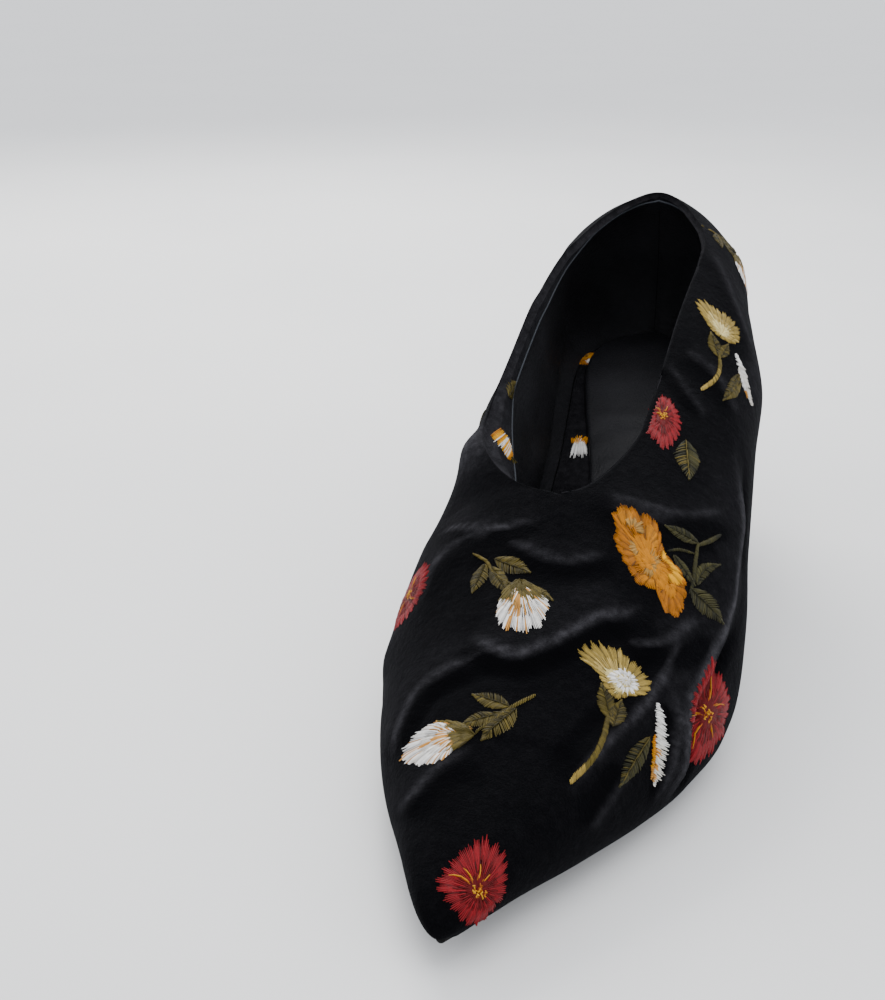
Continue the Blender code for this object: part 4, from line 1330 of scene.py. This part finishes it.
CREAM_FLOWER = (cream_head((-2.4, -0.6), [(11.4, 0.3), (10.6, -1.6), (10.0, -3.8), (8.1, -5.2), (6.7, -7.0),
                                          (4.4, -7.3), (2.4, -8.0), (0.8, -9.2), (-1.6, -8.6), (-4.3, -8.3),
                                          (-6.3, -6.2), (-6.1, -3.8), (-4.9, -1.5), (-4.4, 0.9), (-3.0, 2.5),
                                          (-0.2, 2.6), (3.1, 1.6), (5.9, 1.6), (8.2, 2.0)])
                + fan((-1.4, -2.9), [(2.4, -1.0), (2.3, -3.4), (0.4, -5.4), (-2.4, -6.2), (-4.6, -4.6),
                                     (-4.8, -2.2), (-3.4, -0.2), (-0.6, 0.6), (1.6, 0.6)], SNOW,
                      rings=((1.0, 0.40), (0.50, 0.0)), notch=0.35, lobe=1.5, high=0.55, ragged=0.10)
                + leaf((-7.4, 6.0), (0.8, 2.4), 4.2, KHAKI) + leaf((-9.2, 7.0), (-4.6, 0.6), 4.2, KHAKI)
                + band([(-6.6, 6.1), (-9.9, 10.0), (-13.0, 15.2), (-15.1, 23.1)], (1.7, 1.3, 1.3, 2.2),
                       KHAKI[1::-1] + CREAM[:1], 0.9))
HALF_FLOWER = (band([(8.8, -0.4), (4.3, -0.9), (0.0, -0.9), (-4.2, -0.8), (-8.6, -0.1)], 2.5, SNOW, 0.35,
                    ends=0.5, ragged=0.28)
               + band([(7.0, -0.2), (2.5, -0.1), (-2.0, 0.0), (-7.8, 0.3)], 1.7, SNOW + WHITE[2:],
                      0.5, high=0.44,
                      ends=0.4, ragged=0.35)
               + band([(1.8, 1.1), (-1.6, 1.3), (-4.6, 1.3), (-7.4, 1.2)], 1.3, ORANGE[1:] + WHITE[2:], 0.3,
                      high=0.42, ends=0.3, ragged=0.3)
               + leaf((1.2, 2.6), (-10.2, 11.3), 4.6, OLIVE + KHAKI[1:2]))
BUD = (bud_head((-4.2, -0.1), [(-0.6, -5.4), (3.6, -6.2), (7.3, -5.5), (9.7, -4.0), (10.2, -1.8),
                               (10.8, -0.4),
                               (10.2, 1.4), (10.2, 3.0), (8.4, 4.6), (5.7, 5.4), (3.2, 6.5), (0.0, 5.2)])
       + cup((-6.6, -0.4), [(-3.4, -4.6), (0.8, -5.6), (2.2, -3.4), (2.8, -0.8), (3.0, 1.6), (2.2, 3.8),
                            (1.6, 5.6), (-2.4, 4.6)], ((1.0, 0.30), (0.6, 0.1)), 0.24)
       + leaf((-3.8, 1.6), (1.6, 7.3), 2.8, KHAKI)
       + leaf((-13.6, -6.2), (-8.1, 2.4), 5.0, KHAKI) + leaf((-11.4, -7.1), (-2.6, -3.3), 4.0, KHAKI)
       + leaf((-12.6, -8.5), (-4.2, -12.0), 4.0, KHAKI)
       + band([(-16.5, -11.4), (-13.6, -8.4), (-9.0, -6.3), (-5.8, -3.1), (-4.0, -0.6)], 0.9, KHAKI[:2], 0.7))
LOW_BUD = (bud_head((-6.0, -0.8), [(-2.4, -4.4), (1.0, -5.1), (4.0, -4.3), (6.3, -2.4), (7.9, 0.5),
                                   (6.6, 3.6),
                                   (4.4, 5.0), (2.1, 6.1), (0.0, 6.3), (-2.2, 6.2), (-4.4, 4.6)])
           + cup((-9.2, -0.8), [(-5.8, -4.2), (-2.2, -4.8), (-1.6, -2.4), (-1.8, 0.2), (-2.8, 2.6),
                                (-4.6, 4.4)],
                 ((1.0, 0.25), (0.6, 0.1)), 0.22)
           + leaf((-8.8, -2.0), (-0.4, -5.3), 1.6, WHITE[2:] + KHAKI[:1])
           + leaf((-16.1, -8.0), (-8.0, -11.7), 4.2, KHAKI) + leaf((-13.4, -5.6), (-6.2, -3.2), 4.0, KHAKI)
           + leaf((-17.6, -7.4), (-10.5, 0.9), 5.4, KHAKI)
           + band([(-21.3, -11.4), (-17.7, -8.7), (-13.2, -4.4), (-9.2, -0.9)], (1.5, 0.9, 0.9), KHAKI[:2],
                  0.7))
BACK_CREAM = (cream_head((-2.0, 0.4), [(12.1, 0.0), (12.3, -2.4), (9.9, -3.2), (8.6, -4.6), (7.0, -5.4),
                                       (6.2, -7.0), (4.7, -7.3), (3.6, -8.4), (1.5, -8.0), (0.1, -8.5),
                                       (-2.4, -6.8), (-4.3, -5.8), (-5.3, -1.6), (-3.0, 1.6), (1.0, 2.8),
                                       (5.0, 2.4), (9.0, 1.6)])
              + leaf((-9.2, 6.2), (-0.5, 3.4), 4.0, KHAKI) + leaf((-9.7, 5.3), (-5.4, -0.1), 3.2, KHAKI)
              + band([(-8.7, 5.3), (-12.5, 7.4), (-16.4, 11.2), (-19.2, 17.9)], (1.4, 1.2, 2.0),
                     KHAKI[:1] + CREAM[:1], 0.9))
BACK_HALF = (band([(8.4, 0.0), (5.1, -0.6), (1.3, -1.3), (-3.5, -1.6), (-6.9, -3.0)],
                  2.3, SNOW, 0.35, ends=0.4,
                  ragged=0.28)
             + band([(3.6, 0.4), (-1.0, 0.2), (-5.4, -0.9)], 1.1, WHITE, 0.4, high=0.44, ragged=0.3)
             + leaf((-1.0, 1.0), (-9.6, 10.1), 4.0, KHAKI) + leaf((1.4, 0.9), (-7.2, 7.7), 3.0, KHAKI))
FACING_BUD = (band([(4.9, 0.0), (0.0, 0.3), (-4.9, 0.0)], (7.5, 9.8, 8.0),
                   (ORANGE[1], YELLOW[0], SNOW[0], SNOW[1], YELLOW[0], ORANGE[1]), 0.0, ends=0.8, ragged=0.12)
              + leaf((-4.6, 1.6), (-8.0, -2.6), 3.0, KHAKI))
SMALL_LEAF = leaf((-5.0, 0.0), (5.0, 0.5), 5.0, KHAKI)
INSOLE_BUD = (band([(-5.5, 0.0), (0.0, 0.4), (5.5, 0.0)], (4.4, 5.0, 4.4), ORANGE + YELLOW, 0.1, ends=0.7)
              + band([(-4.4, -0.5), (-0.6, -0.6)], 2.4, SNOW + ORANGE[2:], 0.3, high=0.46, ragged=0.3)
              + band([(1.6, 0.6), (4.2, 0.4)], 1.8, RED[2:] + TAN, 0.3, high=0.46, ragged=0.3))
INSOLE_PETAL = (fan((7.0, 0.0), [(-4.6, -3.0), (-6.0, -1.2), (-4.8, 0.2), (-6.0, 1.4), (-4.4, 3.0)], SNOW,
                    rings=((1.0, 0.35),), closed=False, notch=0.2, lobe=1.7)
                + band([(1.6, -2.4), (2.2, 0.0), (1.6, 2.4)],
                       3.8, ORANGE[1:] + YELLOW, 0.1, ends=0.8, high=0.60,
                       ragged=0.3))

print("motifs drawn; peony has", sum(len(part["start"]) for part in PEONY), "stitches")

# %% [markdown]
# The embroidered cloth is cut and lasted after it was sewn, so the sprigs follow its folds
# and one runs into the collar's edge. A table gives every sprig its place on the last. Two
# small ones lie inside the folded edge, where the cloth turns in over the lining.

# %% Sew the sprigs in their places
velvet_cloth = mesh_points(upper)
SPRIGS = [
    # name, motif, its middle (s, q), a place (s, q) that it points towards, its size
    ("sprig_toe_aster", TOE_ASTER, (.974, .395), (.937, .091), 1.0),
    ("sprig_side_aster", SIDE_ASTER, (.733, .621), (.698, .511), 1.0),
    ("sprig_collar_aster", RIM_ASTER, (.476, .053), (.450, .019), 1.0),
    ("sprig_peony", PEONY, (.648, .219), (.601, .135), 1.0),
    ("sprig_bud", BUD, (.712, -.047), (.750, -.028), 1.0),
    ("sprig_low_bud", LOW_BUD, (.857, -.266), (.857, -.467), 1.0),
    ("sprig_cream", CREAM_FLOWER, (.774, .232), (.748, .094), 1.0),
    ("sprig_half", HALF_FLOWER, (.797, .542), (.774, .414), 1.0),
    ("sprig_back_cream", BACK_CREAM, (.331, .204), (.301, .056), 1.0),
    ("sprig_back_half", BACK_HALF, (.372, .408), (.349, .335), 1.0),
    # The medial side and the back
    ("sprig_arch_aster", ARCH_ASTER, (.668, -.520), (.640, -.430), 1.0),
    ("sprig_medial_peony", PEONY, (.450, -.600), (.415, -.500), 0.75),
    ("sprig_heel_aster", ARCH_ASTER, (.215, -.470), (.200, -.380), 0.8),
    ("sprig_heel_bud", BUD, (.140, .420), (.170, .560), 0.85),
]
for name, motif, place, toward, grow in SPRIGS:
    sew(name, anchor(place, toward), motif, velvet_cloth, grow)


FACING_HELD, FACING_TURNED = 2.2, 0.30


def facing_frame(s, share, side, turn):
    """Frame on the inside of the folded edge, share of the way up the facing, turned by an angle."""
    def place(s, share):
        at = np.array([s])
        row = facing_row(inner_shares(at), side)
        return inner_face(at, inner_shares(at), (row + (1 - row) * share)[:, None], side)[0, 0]
    here = place(s, share)
    up = unit(place(s - 0.01, share) - place(s + 0.01, share))
    out = unit(np.cross(up, place(s, share + 0.1) - place(s, share - 0.1)))
    out = out * np.sign(out[2])
    up = unit(up * np.cos(turn) + np.cross(out, up) * np.sin(turn))
    return here, up, np.cross(out, up), out


sew("sprig_edge_bud", facing_frame(.514, .56, MEDIAL, 1.2), FACING_BUD, velvet_cloth, 0.80,
    reach=FACING_HELD, turned=FACING_TURNED)
sew("sprig_edge_leaf", facing_frame(.436, .44, MEDIAL, -0.4), SMALL_LEAF, velvet_cloth, 0.95,
    reach=FACING_HELD, turned=FACING_TURNED)

# %% [markdown]
# The outsole, the insole and the sock lining are flat pieces that follow the foot bed.
# The outsole's edge is rounded and polished, the insole is a board covered in the same
# velvet, and the sock lining is a thin pad of leather, crowned and a little wrinkled
# where the foot's ball presses.


# %% Sole, insole and sock lining
def half_width(s, grow):
    """Half width of a flat piece: the feather line's, with grow added, closed at the heel."""
    half = np.maximum(curve(SECTIONS, FOOT, s) * BALL_HALF * tip_round(s) + grow, 0.0)
    return half * heel_round(s, np.maximum(-grow, 0.0)) + np.maximum(grow, 0.0) * (1 - heel_round(s))


TIP_HALF = 0.2 * MM            # half width to which a flat piece's ends close
FLAT_RIM = 8                   # rows round the edge, with its first and last
# even painted sheen in the velvet's base colour of the flat pieces
FLAT_SHEEN = 0.12


def build_flat(name, mat, s, grow, low, high, edge, crown, across, nose=0.0, ripple=None, narrow=0.0):
    """Flat closed piece along the foot bed.

    Each section is a loop of (x, z): x from -1 to 1 times the half width, in across steps. The top is
    high + crown * (1 - x^2); both faces fall away at the edge by a half round, so that
    the side is soft. On the medial side the piece is narrower by narrow.
    """
    half = np.maximum(half_width(s, grow), TIP_HALF)[:, None]
    inner = np.maximum(half - edge, 0.0)
    thick = (high - low) / 2
    top_x = np.linspace(-1, 1, across)
    bow = np.linspace(0, np.pi, FLAT_RIM)[1:-1]
    rim = np.minimum(half, edge)
    x_top = inner * top_x
    z_top = np.ones_like(x_top) * high + crown * np.clip(inner / edge, 0, 1) * (1 - top_x ** 2)
    if ripple is not None:
        z_top = z_top + ripple(s[:, None], x_top) * (1 - top_x ** 6)
    right_x = inner + rim * np.sin(bow)
    right_z = (low + high) / 2 + thick * np.cos(bow) * np.ones_like(right_x)
    x_low = inner * top_x[::-1]
    z_low = np.full_like(x_low, low)
    x = np.concatenate([x_top, right_x, x_low, -right_x], 1)
    z = np.concatenate([z_top, right_z, z_low, right_z[:, ::-1]], 1)
    x = x + np.broadcast_to(narrow, s.shape)[:, None] * np.clip(0.5 - x / (2 * np.maximum(half, 1e-6)), 0, 1)
    y = np.broadcast_to((HEEL_BACK - s * LENGTH)[:, None], x.shape)
    ring = np.stack([middle(s)[:, None] + x, y, seat(s)[:, None] + z], -1)
    ends = np.repeat(ring[[0, -1]].mean(1, keepdims=True), ring.shape[1], 1)
    ends[0, :, 1] += nose
    ends[1, :, 1] -= nose
    ring = np.concatenate([ends[:1], ring, ends[1:]])
    index = np.arange(ring.shape[0] * ring.shape[1]).reshape(ring.shape[:2])
    index = np.concatenate([index, index[:, :1]], 1)
    # every point gets the even painted sheen
    return add_piece(name, ring.reshape(-1, 3), grid_quads(index), [mat],
                     values=np.full(ring.shape[0] * ring.shape[1], FLAT_SHEEN))


bed = WALL + FIT
pad = bed + SOCK_INSET
pad_base = 2 * FIT + INSOLE_THICK


def pad_ripple(s, x):
    """Soft wrinkles across the front of the sock lining."""
    where = smooth((s - 0.22) / 0.12) * smooth((0.62 - s) / 0.06)
    wave = np.sin(s * 130 + 60 * x + 2.2 * np.sin(90 * x + s * 20)) + 0.6 * np.sin(s * 210 - 140 * x + 1.0)
    return 0.34 * MM * where * wave


all_shares = np.unique(np.concatenate([stations()[::2], [1.0]]))
sole_shares = all_shares * 0.992
outsole = build_flat("outsole_leather", sole_leather, sole_shares,
                     SOLE_EDGE * 0.1 - 1.2 * MM * smooth((sole_shares - 0.80) / 0.15),
                     -SOLE_THICK, 0.0, SOLE_EDGE, 0.0, 14, nose=SOLE_EDGE * 0.1)
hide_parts("outsole")
bed_shares = 0.5 * (1 - np.cos(np.pi * np.linspace(0, 1, 120)))
insole = build_flat("insole_velvet", velvet, bed / LENGTH + bed_shares * (SOLID_TIP - 0.012 - bed / LENGTH),
                    -bed, FIT, FIT + INSOLE_THICK, 0.8 * MM, 0.25 * MM, 16)
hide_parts("insole")
pad_shares = pad / LENGTH + bed_shares * (0.66 - pad / LENGTH)
sock = build_flat("sock_pad", sock_leather, pad_shares, -pad, pad_base, pad_base + SOCK_THICK, 1.5 * MM,
                  0.9 * MM, 24, ripple=pad_ripple, narrow=curve(LEAN, 2, pad_shares) * MM)
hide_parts("sock_lining")
insole_cloth = mesh_points(insole)
BED_HELD = 4.0


def bed_frame(s, x, turn=0.0):
    """Frame on top of the insole at a share of the length and x in mm, turned by an angle."""
    start = np.array([x * MM, HEEL_BACK - s * LENGTH, seat(s) + FIT + INSOLE_THICK])
    ahead = np.array([0.0, HEEL_BACK - (s + 0.01) * LENGTH, seat(s + 0.01) + FIT + INSOLE_THICK]) - start
    ahead[0] = 0.0
    up = -unit(ahead)
    out = unit(np.cross(np.array([1.0, 0.0, 0.0]), up))
    up = unit(up * np.cos(turn) + np.array([1.0, 0.0, 0.0]) * np.sin(turn))
    return start, up, np.cross(out, up), out


sew("sprig_bed_bud", bed_frame(.112, -19.0), INSOLE_BUD, insole_cloth, reach=BED_HELD)
sew("sprig_bed_petal", bed_frame(.312, -13.0, -0.12), INSOLE_PETAL, insole_cloth, reach=BED_HELD)
print("sole", triangles(outsole), "insole", triangles(insole), "sock", triangles(sock))

# %% [markdown]
# The heel is a block, curved in from the seat to its base and covered in the same velvet,
# which a maker wraps round from the back and glues at the breast. Below it sits the
# rubber top piece, which wears on the floor.

# %% Heel and top piece
HEEL_AROUND, HEEL_RINGS = 120, 48
# even painted sheen in the velvet's base colour of the heel
HEEL_SHEEN = 0.10


def heel_outlines(count):
    """Plan outlines of the heel's seat and base, point for point, starting at the back."""
    turn = np.linspace(0, 2 * np.pi, count, endpoint=False)
    way = 0.5 * (1 - np.cos(turn))
    side = np.where(turn <= np.pi, 1.0, -1.0)
    half = curve(SECTIONS, FOOT, way * HEEL_BREAST) * BALL_HALF - HEEL_INSET
    inset = HEEL_INSET / LENGTH
    s = inset + way * (HEEL_BREAST - inset)
    breast = np.clip((1 - way) / 0.12, 0, 1) ** 0.5
    top = np.stack([side * half * heel_round(s, HEEL_INSET) * breast, HEEL_BACK - s * LENGTH], -1)
    fore = BASE_BACK + (BASE_FRONT - BASE_BACK) * way
    round_share = np.clip(1 - np.abs(2 * way - 1) ** 3.2, 0, 1) ** 0.4
    low = np.stack([side * BASE_HALF * round_share, HEEL_BACK - fore * LENGTH], -1)
    return top, low


def closed_stack(name, rings, mat):
    """Closed piece from rings stacked on one another, each end drawn to its centre."""
    first, last = rings[:1].mean(1, keepdims=True), rings[-1:].mean(1, keepdims=True)
    ends = [np.repeat(c, rings.shape[1], 1) for c in (first, last)]
    rings = np.concatenate([ends[0], rings, ends[1]])
    index = np.arange(rings.shape[0] * rings.shape[1]).reshape(rings.shape[:2])
    index = np.concatenate([index, index[:, :1]], 1)
    # even painted sheen for the velvet's base colour
    painted_light = np.full(rings.shape[0] * rings.shape[1], HEEL_SHEEN)
    return add_piece(name, rings.reshape(-1, 3), grid_quads(index), [mat], values=painted_light)


def build_heel():
    """Rings from the seat down to the base; the outline goes from one to the other."""
    top, low = heel_outlines(HEEL_AROUND)
    z_top = seat((HEEL_BACK - top[:, 1]) / LENGTH) - SOLE_THICK - FIT
    down = np.linspace(0, 1, HEEL_RINGS)[:, None]
    blend = curve(HEEL_PROFILE, 1, down)
    z = z_top[None, :] * (1 - down) + (TIP_THICK + FIT) * down
    x = top[None, :, 0] * (1 - blend) + low[None, :, 0] * blend
    y = top[None, :, 1] * (1 - blend) + low[None, :, 1] * blend
    rings = np.stack([x, y, z], -1)
    centre = rings.mean(1, keepdims=True)[..., :2]
    turned = 1 - 0.02 * bell(down[..., None], 0.02) - 0.03 * bell(1 - down[..., None], 0.015)
    rings[..., :2] = centre + (rings[..., :2] - centre) * turned
    return closed_stack("heel_velvet", rings, velvet)


def build_top_piece():
    """Rubber top piece with small rounds at both edges."""
    _, low = heel_outlines(HEEL_AROUND)
    centre = low.mean(0)
    r = 0.6 * MM
    bow = np.linspace(0, np.pi / 2, 5)
    z = np.concatenate([r * (1 - np.cos(bow)), TIP_THICK - r * (1 - np.cos(bow[::-1]))])
    inset = np.concatenate([r * (1 - np.sin(bow)), r * (1 - np.sin(bow[::-1]))])
    reach = np.linalg.norm(low - centre, axis=1)
    scale = 1 - inset[:, None] / reach[None, :]
    xy = centre + (low - centre)[None] * scale[..., None]
    rings = np.concatenate([xy, np.broadcast_to(z[:, None, None], xy.shape[:2] + (1,))], -1)
    return closed_stack("top_piece_rubber", rings, rubber)


heel = build_heel()
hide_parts("heel")
top_piece = build_top_piece()
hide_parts("top_piece")
print("heel", triangles(heel), "top piece", triangles(top_piece))
